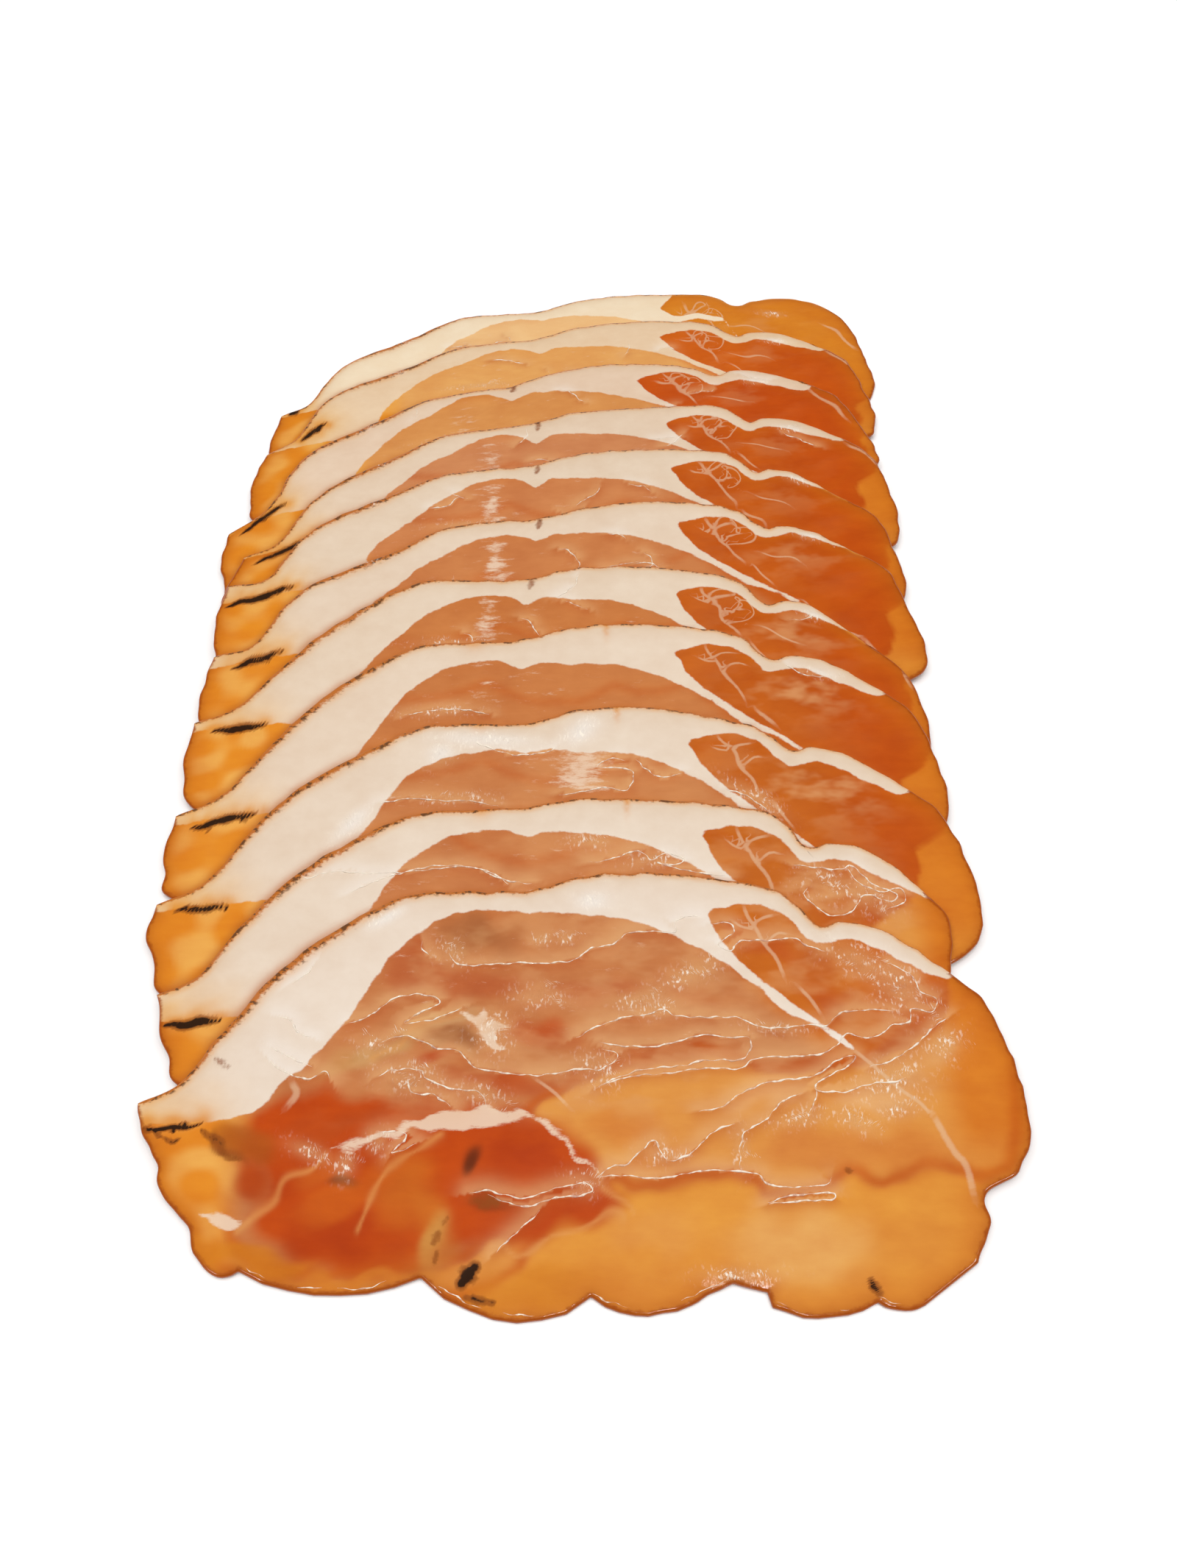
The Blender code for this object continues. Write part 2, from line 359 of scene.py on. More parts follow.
@dataclass(frozen=True)
class Outline:
    """The outline that all slices start from, in the slice's own frame, clockwise.

    It starts at the left tip. The rind runs along the back, and lobes scallop the front.

    Attributes:
        rind: the back edge, from the left tip to the end of the rind.
        right: the right side, down to the first notch.
        notches: where the lobes of the front edge meet, from right to left.
        lobes: how far each lobe bulges past the straight line between its notches.
        left: the left side, up to the tip again.
        steps: how many corners each piece of the curved sides gets.
        lobe_steps: how many corners a lobe gets.
        wave_height: the height of the low waves that make each slice's outline its own.
        waves_round: how many of each wave go round a slice.
        nibble_height: how deep the fine bites of the cut are.
        swells: a middle, a direction and a width for each of a lay's swells.
    """

    rind: Curve = (
        (-88.5, -48.5), (-79.5, -43.5), (-72, -31.5), (-60.5, -16), (-46.5, -4.5), (-31, 4), (-14, 5.2),
        (-1, 5.4), (13.5, 9.3), (32, 10.2), (51, 8), (63, 4.5), (71, -4), (76.8, -3), (87.2, -5.8),
        (101, -16.4),
    )
    right: Curve = (
        (108.5, -24), (112.4, -36), (114, -53), (109.5, -63.5), (101.5, -68.5), (101, -75), (96.5, -83.6),
    )
    notches: Curve = (
        (84.5, -90.8), (74.6, -90.2), (52.3, -91), (51.6, -88.2), (44.6, -86.6), (35.5, -90.4),
        (14.5, -89.4), (-21.5, -85.4), (-60.5, -84.2), (-68, -83.4),
    )
    lobes: tuple[float, ...] = (1.4, 2.8, 0, 0.3, 0, 3, 6.6, 4.2, 1.6)
    left: Curve = ((-70.6, -80.5), (-73, -75), (-80, -68), (-81.8, -62), (-86, -56))
    steps: int = 8
    lobe_steps: int = 7
    wave_height: float = 0.5
    waves_round: tuple[int, ...] = (5, 8, 11)
    nibble_height: float = 0.35
    swells: tuple[tuple[tuple[float, float], tuple[float, float], float], ...] = (
        ((-72, -28), (-0.7, 0.7), 24),
        ((100, -14), (0.6, 0.8), 24),
        ((-84, -68), (-0.9, -0.3), 19),
        ((113, -50), (1, 0), 26),
        ((-90, -50), (0, 1), 13),
    )

    @property
    def rind_end(self) -> int:
        """Where the rind ends and the right side starts, as an index of the outline."""
        return self.steps * (len(self.rind) - 1)

    @property
    def front_right(self) -> int:
        """Where the front edge starts."""
        return self.steps * (len(self.rind) + len(self.right) - 1)

    @property
    def front_left(self) -> int:
        """Where the front edge ends."""
        return self.front_right + self.lobe_steps * len(self.lobes)

    def shared(self) -> Points:
        """The closed outline without any slice's own swells."""
        notches = np.asarray(self.notches, float)
        u = np.linspace(0.0, 1.0, self.lobe_steps, endpoint=False)[:, None, None]
        front = notches[:-1] + np.diff(notches, axis=0) * u
        front[:, :, 1] -= np.asarray(self.lobes) * np.sin(math.pi * u[:, :, 0]) ** 0.75
        front = front.transpose(1, 0, 2).reshape(-1, 2)
        back_and_right = catmull_rom(tuple(self.rind) + tuple(self.right), self.steps)
        left = catmull_rom(tuple(self.left) + tuple(self.rind[:1]), self.steps)
        return np.vstack([back_and_right, front, notches[-1:], left])

    def of_slice(self, index: int, nibbled: bool) -> Points:
        """One slice's outline: the shared one pushed out by bells at the shoulders and lobes.

        Three low waves run round it, and a finer one may nibble at its edge.

        Args:
            index: the slice.
            nibbled: whether its edge has the fine bites of the cut.

        Returns:
            The corners of the outline, in the slice's own frame.
        """
        outline = self.shared()
        pushed = outline.copy()
        for swelling, (centre, way, width) in zip(ROW[index].swells, self.swells):
            away = np.linalg.norm(outline - centre, axis=1)
            pushed += np.outer(swelling * bell(away, 0.0, width), way)
        around = np.linspace(0.0, 2 * math.pi, len(outline), endpoint=False)
        outward = outline - outline.mean(axis=0)
        outward /= np.linalg.norm(outward, axis=1)[:, None]
        if index:
            wave = sum(
                math.cos(2.1 * index + n) * np.sin(n * around + 1.7 * index * n)
                for n in self.waves_round
            )
            pushed += outward * wave[:, None] * self.wave_height
        nibbles = waves(pushed, 7.0, 40 + index) * self.nibble_height * nibbled
        return pushed + outward * nibbles[:, None]


@dataclass
class SliceRow:
    """All the outlines in the frame of the row, and the heights that follow from them.

    Attributes:
        shape: the outline that the slices share.
        reach: how far outside an outline distances are worked out.
        ripple_height: the height of the long, low ripple of the row.
        ripple_across: the length of its waves across the row.
        ripple_along: the length of its waves along the row.
        ripple_grows_over: over what distance from its front a slice joins in it.
        slices_to_full_ripple: how many slices from the back it takes to its full height.
        neighbours: how many slices each way may lie over or under one.
    """

    shape: Outline = field(default_factory=Outline)
    reach: float = 12.0
    ripple_height: float = 0.5
    ripple_across: float = 74.0
    ripple_along: float = 118.0
    ripple_grows_over: float = 30.0
    slices_to_full_ripple: int = 4
    neighbours: int = 5

    def __post_init__(self) -> None:
        """Lays every outline, and finds the row's centre and each slice's foremost reach."""
        self.own = [self.shape.of_slice(index, True) for index in range(len(ROW))]
        self.outlines = [self.in_row(o, index) for index, o in enumerate(self.own)]
        smooth_ones = [
            self.in_row(self.shape.of_slice(index, False), index) for index in range(len(ROW))
        ]
        every = np.vstack(smooth_ones)
        self.centre = (every.min(axis=0) + every.max(axis=0)) / 2
        self.slopes = np.array([math.tan(math.radians(lay.turn)) for lay in ROW])
        self.across = np.array([lay.across for lay in ROW])
        self.foremost = np.array(
            [
                np.min(outline[:, 1] - slope * (outline[:, 0] - across))
                for outline, slope, across in zip(smooth_ones, self.slopes, self.across)
            ]
        )

    @staticmethod
    def turned(points: Points, index: int) -> Points:
        """Points or directions of a slice's own frame, turned as it lies."""
        c = math.cos(math.radians(ROW[index].turn))
        s = math.sin(math.radians(ROW[index].turn))
        return points @ np.array([[c, s], [-s, c]])

    def in_row(self, points: Points, index: int) -> Points:
        """Points of a slice's own frame, turned and moved into the frame of the row."""
        return self.turned(points, index) + (ROW[index].across, ROW[index].along)

    def depths(self, points: Points, index: int) -> dict[int, Values]:
        """How deep each point is inside each neighbouring slice, by that slice's index."""
        first = max(0, index - self.neighbours)
        last = min(len(ROW) - 1, index + self.neighbours)
        return {
            other: depth_inside(points, self.outlines[other], self.reach)
            for other in range(first, last + 1)
            if other != index
        }

    def underside(self, points: Points, index: int) -> Values:
        """Height of a slice's lower face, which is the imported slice's.

        A common surface climbs one layer from each slice's front line to the next. Between
        two lines it is the cubic t^2 (3 - 2t) times a layer, plus (t^3 - 2t^2 + t) and
        (t^3 - t^2) times the step and the slope at either line, which is the harmonic mean
        of the slopes beside it. A slice lies as many layers below it as there are slices in
        front, but no lower than the table. A long, low ripple of crossed sines is added,
        which grows from nothing at the slice's own front.

        Args:
            points: where the height is wanted, in the frame of the row.
            index: the slice.

        Returns:
            The height above the table at each point.
        """
        x = points[:, 0, None]
        y = points[:, 1]
        lines = self.foremost + self.slopes * (x - self.across)
        steps = np.diff(lines, axis=1)
        slopes = LAYER / steps
        tangents = np.zeros(lines.shape)
        tangents[:, 1:-1] = 2 * slopes[:, 1:] * slopes[:, :-1] / (slopes[:, 1:] + slopes[:, :-1])
        passed = (y[:, None] >= lines).sum(axis=1)
        at = np.clip(passed - 1, 0, len(ROW) - 2)
        rows = np.arange(len(points))
        step = steps[rows, at]
        t = np.clip((y - lines[rows, at]) / step, 0.0, 1.0)
        climb = LAYER * (at + t * t * (3 - 2 * t))
        climb += (t**3 - 2 * t**2 + t) * step * tangents[rows, at]
        climb += (t**3 - t**2) * step * tangents[rows, at + 1]
        lift = np.maximum(0.0, climb - LAYER * index)
        across = np.sin(2 * math.pi * points[:, 0] / self.ripple_across + 0.6)
        along = np.sin(2 * math.pi * y / self.ripple_along + 0.4)
        share = min(1.0, (len(ROW) - 1 - index) / self.slices_to_full_ripple)
        grown = np.clip((y - lines[:, index]) / self.ripple_grows_over, 0.0, 1.0)
        return lift + self.ripple_height * share * grown * 0.5 * (1 + across * along)


def between(sides: tuple[Points, Points, Points, Points], u: Values, v: Values) -> Points:
    """Coons patch: a grid of points between four sides.

    A point is the blend of front and back by v, plus the blend of left and right by u,
    less the blend of the four corners.

    Args:
        sides: front and back, each from left to right, then left and right, each from
            front to back. Front and back have a point for each u, and the others for each v.
        u: the shares across, from 0 to 1.
        v: the shares along, from 0 to 1.

    Returns:
        The points, len(v) by len(u) by 2.
    """
    front, back, left, right = sides
    s = u[None, :, None]
    t = v[:, None, None]
    rows = (1 - t) * front[None] + t * back[None]
    columns = (1 - s) * left[:, None] + s * right[:, None]
    corners = (1 - t) * ((1 - s) * front[0] + s * front[-1])
    corners = corners + t * ((1 - s) * back[0] + s * back[-1])
    return rows + columns - corners


def along_line(line: Points, shares: Values) -> Points:
    """Points at the given shares of an open line's length."""
    lengths = np.linalg.norm(np.diff(line, axis=0), axis=1)
    reached = np.concatenate([[0.0], np.cumsum(lengths)])
    at = shares * reached[-1]
    return np.stack([np.interp(at, reached, line[:, axis]) for axis in (0, 1)], axis=1)


def shares_with_fine_ends(length: float, spacing: float, rim: Sequence[float]) -> Values:
    """Shares from 0 to 1, evenly spaced but for a few that crowd at each end.

    Args:
        length: the length that is shared out.
        spacing: the even spacing.
        rim: the distances from each end of the points that crowd there.

    Returns:
        The shares, rising.
    """
    ends = np.asarray(rim) / length
    count = max(2, round((length - 2 * rim[-1]) / spacing))
    middle = np.linspace(ends[-1], 1 - ends[-1], count + 1)
    return np.concatenate([ends[:-1], middle, 1 - ends[:-1][::-1]])


@dataclass(frozen=True)
class Vein:
    """A thin line of fat or a crease: the points it passes through and its half width."""

    points: Curve
    width: float


@dataclass(frozen=True)
class HamPattern:
    """The curves of fat, lean and seams that every slice of this ham shows.

    Attributes:
        cap_left: the lower edge of the fat cap, from outside the left tip to its corner.
        cap_edge: where the cap turns to lean, from that corner to the wedge's lower tip.
        wedge_right: the wedge's other side, up to the tip of the right muscle.
        right_top: the upper edge of the right muscle, out past the end of the rind.
        above: the corners outside the slice that close the cap.
        islands: closed patches of fat in the lean; the last is no fat but a patch of crumpled film,
            painted pale as a highlight.
        dark_lean: the closed patch of deeply coloured muscle at the lower left.
        seams: soft, faint lines of fat in the front slice.
        second_below: where the second slice lies under the front one, and shows through.
        third_below: where the third slice does.
        veins: thin lines of fat.
        loops: veins that only the slices further back show.
        first_with_loops: the first slice that shows those.
        bare_end: how far the lean rises into the cap at the right end of the last slice.
        wedge_lean: how far the wedge leans to the left for each step towards the back.
    """

    cap_left: Curve = ((-104, -57), (-92, -55), (-84, -53.6), (-78, -53.2), (-70, -52.6), (-64, -51.2))
    cap_edge: Curve = (
        (-59.5, -48.5), (-56.5, -43.8), (-51.5, -39.6), (-47, -34), (-44, -30), (-40, -23.5), (-36, -15.8),
        (-32, -10.2), (-27, -6), (-22, -2.4), (-15, -0.4), (-8, -0.3), (-3.5, -0.6), (-1.2, -0.9),
        (1, -0.9), (5, -0.9), (12, -1.4), (20, -2.4), (27, -4), (33, -6.4), (40, -9.8), (46, -13.6),
        (51, -17.4), (55, -20.9), (58.5, -24.6), (61.5, -27.2), (66, -29.2), (70, -31.9), (75, -35.8),
    )
    wedge_right: Curve = (
        (75.6, -35.2), (70.4, -30.6), (66, -27.4), (62, -24.2), (58, -20.6), (54.8, -17.8), (51.6, -14.8),
        (48.8, -11.6), (46.4, -8.2), (44.8, -4.6), (43.6, -1),
    )
    right_top: Curve = (
        (46.5, 0.3), (50, 1.2), (54, 1.5), (58, 0.9), (62, -0.9), (65, -3.6), (67, -6.6), (69.6, -8.8),
        (73, -8.8), (77, -7.8), (81, -8.6), (85, -10.8), (89, -13.2), (93, -15.2), (97, -17.4),
        (100.5, -18.2), (103, -15.5), (104, -8),
    )
    above: Curve = ((96, 14), (40, 34), (-40, 34), (-118, 16), (-118, -57))
    islands: tuple[Curve, ...] = (
        ((-71, -72.6), (-66.5, -72), (-61.5, -73.4), (-63, -75.6), (-67, -76)),
        (
            (-45, -59.4), (-40, -57.4), (-34, -55.2), (-28, -53), (-22, -51), (-15, -50), (-8, -49.8),
            (-2, -50.4), (4, -52.2), (9, -55.8), (12.8, -60), (16.4, -64.6), (13, -62.4), (9.4, -58.4),
            (5, -54.8), (0, -53), (-6, -53), (-11, -54.2), (-18, -56), (-24, -54.8), (-32, -57),
            (-39, -58.8),
        ),
        # A pale patch of crumpled film, a painted highlight, drawn like fat.
        (
            (-15.6, -27), (-11.5, -25.8), (-10, -28.6), (-5.8, -29.2), (-3, -28.8), (-6.8, -31.4),
            (-7.2, -34.2), (-3.8, -37.4), (-8, -36.4), (-11.2, -32.8),
        ),
    )
    dark_lean: Curve = (
        (-61, -50.8), (-55, -46.8), (-47, -45), (-38, -46.4), (-28, -47), (-18, -47.4), (-6, -48.6),
        (4, -50.8), (11.6, -56), (16, -62.4), (22, -68.4), (21, -72.6), (12, -75.2), (2, -78.4),
        (-6, -80.6), (-13, -80), (-20, -83.4), (-30, -85), (-42, -84), (-51, -81), (-57, -77.4),
        (-59.6, -73), (-56.6, -68), (-60, -64), (-65, -60), (-70, -57.4), (-71, -55.6),
    )
    seams: tuple[Curve, ...] = (
        ((21, -73.4), (16, -74.6), (8, -77), (0, -79.2), (-6, -80.6)),
        ((-62, -75.4), (-57, -71.6), (-52, -65), (-45, -59.6)),
        ((-36.2, -77), (-34, -70.6), (-31.4, -64.6), (-26, -60), (-19, -56.6)),
        ((16, -64), (20.6, -68.6), (22.6, -72)),
        ((-36, -38.6), (-31, -35.4), (-25, -29.4), (-16, -27)),
    )
    second_below: Curve = (
        (116, -30), (110, -60), (101, -66), (96, -64.4), (90, -63.2), (84.6, -65.2), (79.4, -67.4),
        (75, -66.2), (72, -64.4), (68, -67.2), (62, -69.2), (56, -70), (51.4, -69.4), (50.2, -66.8),
        (44, -65.6), (38, -66), (32, -67.4), (24, -68.2), (17, -66), (8, -70), (0, -84), (-20, -92),
        (-60, -88), (-80, -60), (-110, -40), (-110, 40), (116, 40),
    )
    third_below: Curve = (
        (108, -10), (101, -19), (99.4, -26), (96, -30.4), (90, -34.4), (84, -37.2), (79.6, -39.4),
        (74, -40.4), (70, -41), (62, -41.8), (54, -42), (51.4, -40.2), (47, -38.8), (40, -38.6),
        (34, -39.6), (27, -40.4), (20, -41.4), (14, -43.6), (8, -46.4), (2, -50.6), (-2, -60), (-8, -80),
        (-30, -85), (-58, -84), (-80, -58), (-110, -40), (-110, 40), (108, 40),
    )
    veins: tuple[Vein, ...] = (
        Vein(((75, -35.4), (80, -40), (85, -45), (89.5, -48.5), (92, -52)), 0.4),
        Vein(((92, -51), (93.6, -55), (95.6, -59.5), (97.6, -62.5), (98.4, -70)), 0.7),
        Vein(((52.6, 1.4), (53.6, -2), (55.4, -5.2), (57, -9), (59.8, -13.2), (61.4, -18.6)), 0.42),
        Vein(((60.6, -1.4), (57.4, -2.2), (54.6, -4)), 0.35),
        Vein(((63.4, -6.6), (60.6, -6.4), (57.6, -8.8)), 0.3),
        Vein(((49.6, -3), (51.8, -4.6), (55.2, -5.4)), 0.3),
        Vein(((64, -19.8), (67, -23.6), (69.6, -28.4)), 0.4),
        Vein(((-54.6, -43), (-52.8, -46.4), (-55, -50)), 0.7),
        Vein(((1, -42.5), (6, -46), (10, -50)), 0.35),
    )
    loops: tuple[Vein, ...] = (
        Vein(((54.4, -3.4), (56.6, 0), (60.2, 0.2), (61.6, -3.2), (59.4, -6.4), (55.8, -6.6)), 0.24),
        Vein(((61.6, -3.2), (65.2, -4.2), (66.4, -8), (63.6, -11.2), (59.4, -10.8)), 0.22),
        Vein(((100, -18), (104.4, -22.6), (107.6, -29), (109.4, -37)), 0.55),
        Vein(((66, -14), (74, -17), (80, -21)), 0.3),
    )
    first_with_loops: int = 4
    bare_end: float = 16.0
    wedge_lean: float = 0.9

    def lifted(self, curve: Curve, index: int) -> Points:
        """A curve with this slice's own rises, each a bell about its place along u.

        The rises of the lean act near the rind, the tip's on the left, and the flank's
        moves the lean's left flank outwards.

        Args:
            curve: the curve that the slices share.
            index: the slice.

        Returns:
            The curve's points as this slice has them.
        """
        lay = ROW[index]
        p = np.asarray(curve, float)
        u = p[:, 0]
        v = p[:, 1]
        below_rind = v < 8.0
        lean = smooth(v, -26.0, -8.0) * below_rind
        rise = lay.rises[0] * bell(u, -16.0, 13.0)
        rise = rise + lay.rises[1] * bell(u, -1.2, 3.4)
        rise = rise + lay.rises[2] * bell(u, 12.0, 13.0)
        tip = lay.tip_rise * smooth(-u, 46.0, 70.0) * smooth(v, -66.0, -57.0)
        bare_end = self.bare_end * (index == len(ROW) - 1)
        tip = tip + bare_end * smooth(u, 40.0, 62.0) * (v > -30.0)
        on_flank = smooth(-u, 12.0, 22.0) * (u > -60.0) * below_rind * smooth(-v, 2.0, 14.0)
        reach = on_flank * (lay.flank[0] + lay.flank[1] * bell(v, -27.0, 8.0))
        return p + np.stack([-reach, rise * lean + tip], axis=1)

    def fat(self, index: int) -> list[Points]:
        """The closed patches of fat of one slice, the cap with its wedge first; the last island is a
        painted highlight on crumpled film.
        """
        cap = self.cap_left, self.cap_edge, self.wedge_right, self.right_top, self.above
        corners = np.vstack([self.lifted(curve, index) for curve in cap])
        patches = [catmull_rom(corners, 4)]
        for island in self.islands:
            ring = np.vstack([island, island[:1]])
            patches.append(catmull_rom(ring, 4))
        return patches

    def thin_lines(self, index: int) -> list[Vein]:
        """The veins that one slice shows."""
        lines = list(self.veins)
        if index >= self.first_with_loops:
            lines += self.loops
        return lines


# The creases and the crumpled patches of the film, in the frame of the slice that it lies on.
FRONT_CREASES: tuple[Curve, ...] = (
    (
        (-42.5, -29.5), (-38, -28), (-33, -24), (-28, -22.4), (-23, -23), (-21.6, -24.6), (-25, -26.6),
        (-29.6, -29.4), (-25, -29.2), (-20, -27.6), (-16, -25.8),
    ),
    (
        (-35, -34.5), (-30, -32.7), (-25, -34), (-21, -35.8), (-16.5, -36.4), (-12.5, -40), (-7, -41.4),
        (0, -42.2), (6, -41.8), (12, -40.6), (16, -40.8), (20, -39), (20.6, -37), (17, -35.6),
    ),
    (
        (11, -33), (16, -30.4), (22, -28.4), (28, -27.4), (31.4, -26), (35, -27.6), (42, -28.2), (49, -28),
        (54, -30.4), (60, -30.8), (66, -30), (70, -30.2), (74, -27), (80, -26.2), (86, -26.4),
    ),
    (
        (16.5, -34), (22, -35.2), (29, -35.2), (35, -34), (41, -32.4), (47, -33.2), (51.4, -33),
        (52, -35.2), (50, -38.2), (45, -38.6), (40, -38.6), (36, -39.8), (28, -40.4), (21, -42.4),
        (15.4, -45.2),
    ),
    (
        (17, -44.2), (24, -42.2), (32, -41.6), (41, -40.4), (48.6, -40.6), (53, -38.2), (60, -37.8),
        (67, -37.2), (71.6, -35.4), (74.6, -32.2), (79, -33.2), (83, -32), (86, -29.8), (90, -29.4),
        (90.6, -26), (95.6, -26.6), (97, -23.8), (93.4, -21.6), (92, -17.6), (87, -14.4),
    ),
    (
        (-20, -11.8), (-17.6, -14.6), (-12, -14.8), (-4, -14.4), (5, -14.4), (11, -13.2), (15, -10.4),
        (20, -9.6), (23.4, -6.8), (29, -6), (35, -6.4), (35.6, -3.4), (39, -2), (42.6, -2.4),
    ),
    (
        (44, -4.2), (48.4, -3.4), (50, -6), (47, -8.2), (45.8, -9.8), (49, -11), (51.4, -8.4), (58, -8.2),
        (65, -7.8), (67.6, -9.8), (72, -11.2),
    ),
    (
        (16, -65), (22, -64.6), (30, -65.2), (38, -63.6), (46, -63.6), (51, -64.2), (54, -66.6),
        (60, -67.2), (66.4, -66.4), (67.4, -65),
    ),
    ((53, -70.5), (57, -69), (63, -68.5), (67.6, -68.5), (66.8, -69.8), (60, -70), (53.2, -70.6)),
    (
        (16, -65), (19, -62.6), (22.6, -62), (26.4, -58.6), (29, -57), (30.6, -60.4), (33.4, -61.2),
        (38, -58.6), (41.4, -55.4), (47, -53.2),
    ),
    ((47.6, -63), (47.8, -58.4), (49.2, -55), (54.6, -52), (57.6, -48.6), (63, -46.4)),
    (
        (39, -50.4), (44, -49.6), (48.6, -46.6), (55, -43.8), (64, -42.8), (68.6, -40.6), (73, -38),
        (76, -37.6), (73.4, -40.4), (67.6, -43), (66, -45.6), (72, -46), (78, -44.4), (84, -43.6),
        (88, -42.4),
    ),
    ((79, -40.4), (85, -38.2), (91, -34.4), (96, -30), (99.4, -28)),
    ((64, -51), (66, -47), (66.2, -44)),
    ((-34.6, -42.6), (-31, -40.8), (-25, -41), (-23, -43), (-17, -45.4), (-11, -46.2), (-9, -49.4)),
    ((-27.4, -42), (-26.6, -46), (-21, -46.8), (-17, -49.6)),
    (
        (-12, -68.4), (-8, -67.8), (-3, -69), (1, -69.2), (7, -67.4), (12.6, -66.2), (15, -67.6),
        (13, -68.6), (7, -69.4), (1, -71), (-4, -70.2), (-8, -68.6),
    ),
    ((-6, -80.6), (-2.6, -77.4), (0.4, -74.8), (3.4, -72)),
    ((-61, -37.6), (-58, -40.2), (-54, -42.2), (-50.4, -43), (-47, -41.2), (-45.4, -43)),
    ((-60, -35.4), (-56.6, -37.2), (-53, -39), (-50, -40)),
    ((-59.6, -28), (-56.4, -28.8), (-54.4, -31.8), (-50.4, -33.4)),
    ((-57.6, -20), (-54, -17.2), (-52, -14)),
    ((-27, -8.6), (-26, -11.6), (-24, -13)),
    ((-34, -55.8), (-31.4, -55), (-26.6, -55.6), (-30, -59.8), (-24.4, -57.6)),
)
SECOND_CREASES: tuple[Curve, ...] = (
    ((-64, 10), (-60, -14), (-50, -13.8), (-40, -14.2), (-28, -13), (-16, -11.6), (-8, -15), (0, -16)),
    ((-46, -20), (-40, -16.6), (-32, -13.4), (-22, -11.4), (-12, -12.6), (-6, -16.4)),
    (
        (14, -10), (20, -9), (27, -6.4), (30, -9), (34, -7), (38.6, -8.6), (36, -10.4), (31.6, -9.8),
        (40, -12), (50, -13.4),
    ),
    (
        (66, -9.6), (74, -10.4), (78.6, -11), (81.4, -9.6), (86, -14.6), (92, -17.6), (90, -19.6),
        (84, -18), (80, -22.6), (74.6, -23.4), (69, -18.6), (70, -15.6),
    ),
    ((80, -10), (82.4, -14), (88, -17), (93, -16), (94, -19.6), (89, -21.6)),
    ((-72, -10), (-68, -14.6), (-63.4, -12.4), (-60, -7)),
)
THIRD_CREASES: tuple[Curve, ...] = (
    ((-40, -20.4), (-32, -18.8), (-24, -19.4), (-16, -19.6), (-8, -21.4)),
    ((8, -18), (14, -17), (20, -15.6), (26, -16.4), (28, -11), (24, -9.4), (18, -9), (22, -6.4), (26, -7)),
    ((29, -6.6), (31.6, -10), (36, -12.6), (41, -11)),
    ((-16, -1), (-10, -3.4), (-4, -5.4), (4, -4.4), (8, -2.4)),
    ((52, -16), (58, -18.6), (64, -24)),
)
FOURTH_CREASES: tuple[Curve, ...] = (
    ((-34, -20), (-26, -18.4), (-18, -18.6), (-10, -20.6)), ((74, -6), (80, -10.4), (86, -11.2)),
)
FRONT_CRUMPLED: tuple[Patch, ...] = (
    (80, -14, 9, 4, -30), (88, -20, 8, 5, -50), (38, -17.6, 9, 2.4, 25), (27, -23, 6, 2, 20),
    (30.6, -26.4, 4, 2, 0), (1, -23, 5.4, 2.6, 0), (84, -43, 8, 3.6, 20), (97, -35, 5, 3.4, 40),
    (62, -52, 6, 2, 10), (74, -52.6, 5, 2.2, -25), (84, -49.4, 6, 2.2, 15), (48, -59, 1.8, 4.4, 0),
    (16, -41, 5, 4, 0), (2.6, -8, 3, 1.6, 0), (8.4, -8, 2.4, 1.4, 0), (-19, -12, 4, 3, -30),
    (-27.6, -42.6, 7, 2.6, -10), (-10, -46.6, 5, 2.2, -20), (-48, -59.4, 5, 1.8, -20),
    (-33, -57.4, 2.4, 2.4, 0), (46, -85, 8, 1.6, 0), (15, 2, 4, 2.4, 0), (13, -66, 3.4, 2.4, -30),
    (-36, -2.6, 5, 1.6, 30), (-36, -34.6, 4, 2, 0), (30, -60, 4, 2.4, 0), (58, -30.8, 7, 1.2, 0),
    (-40, -62, 2.4, 3, 0), (-8, -32, 4.6, 5, -40),
)
SECOND_CRUMPLED: tuple[Patch, ...] = (
    (76, -15, 8, 4, -10), (84, -18, 6, 3.6, -30), (30, -8.6, 6, 1.8, 10), (-64, -4.6, 6, 3.4, -10),
    (-24, 8, 8, 1.6, 0), (15, -4, 5, 2, 0),
)
THIRD_CRUMPLED: tuple[Patch, ...] = (
    (-12, -0.4, 14, 2.6, -4), (-24, -5, 4, 3.4, 40), (-20, -19, 10, 1.4, 0), (14, 2.6, 6, 3.4, 40),
    (60, -19, 8, 2.4, -38), (-46, -26, 6, 2.2, 50),
)
FOURTH_CRUMPLED: tuple[Patch, ...] = (
    (-24, -19, 10, 1.4, 0), (-53, -7, 2.4, 1.4, 0), (84, -10, 4, 1.4, -20),
)


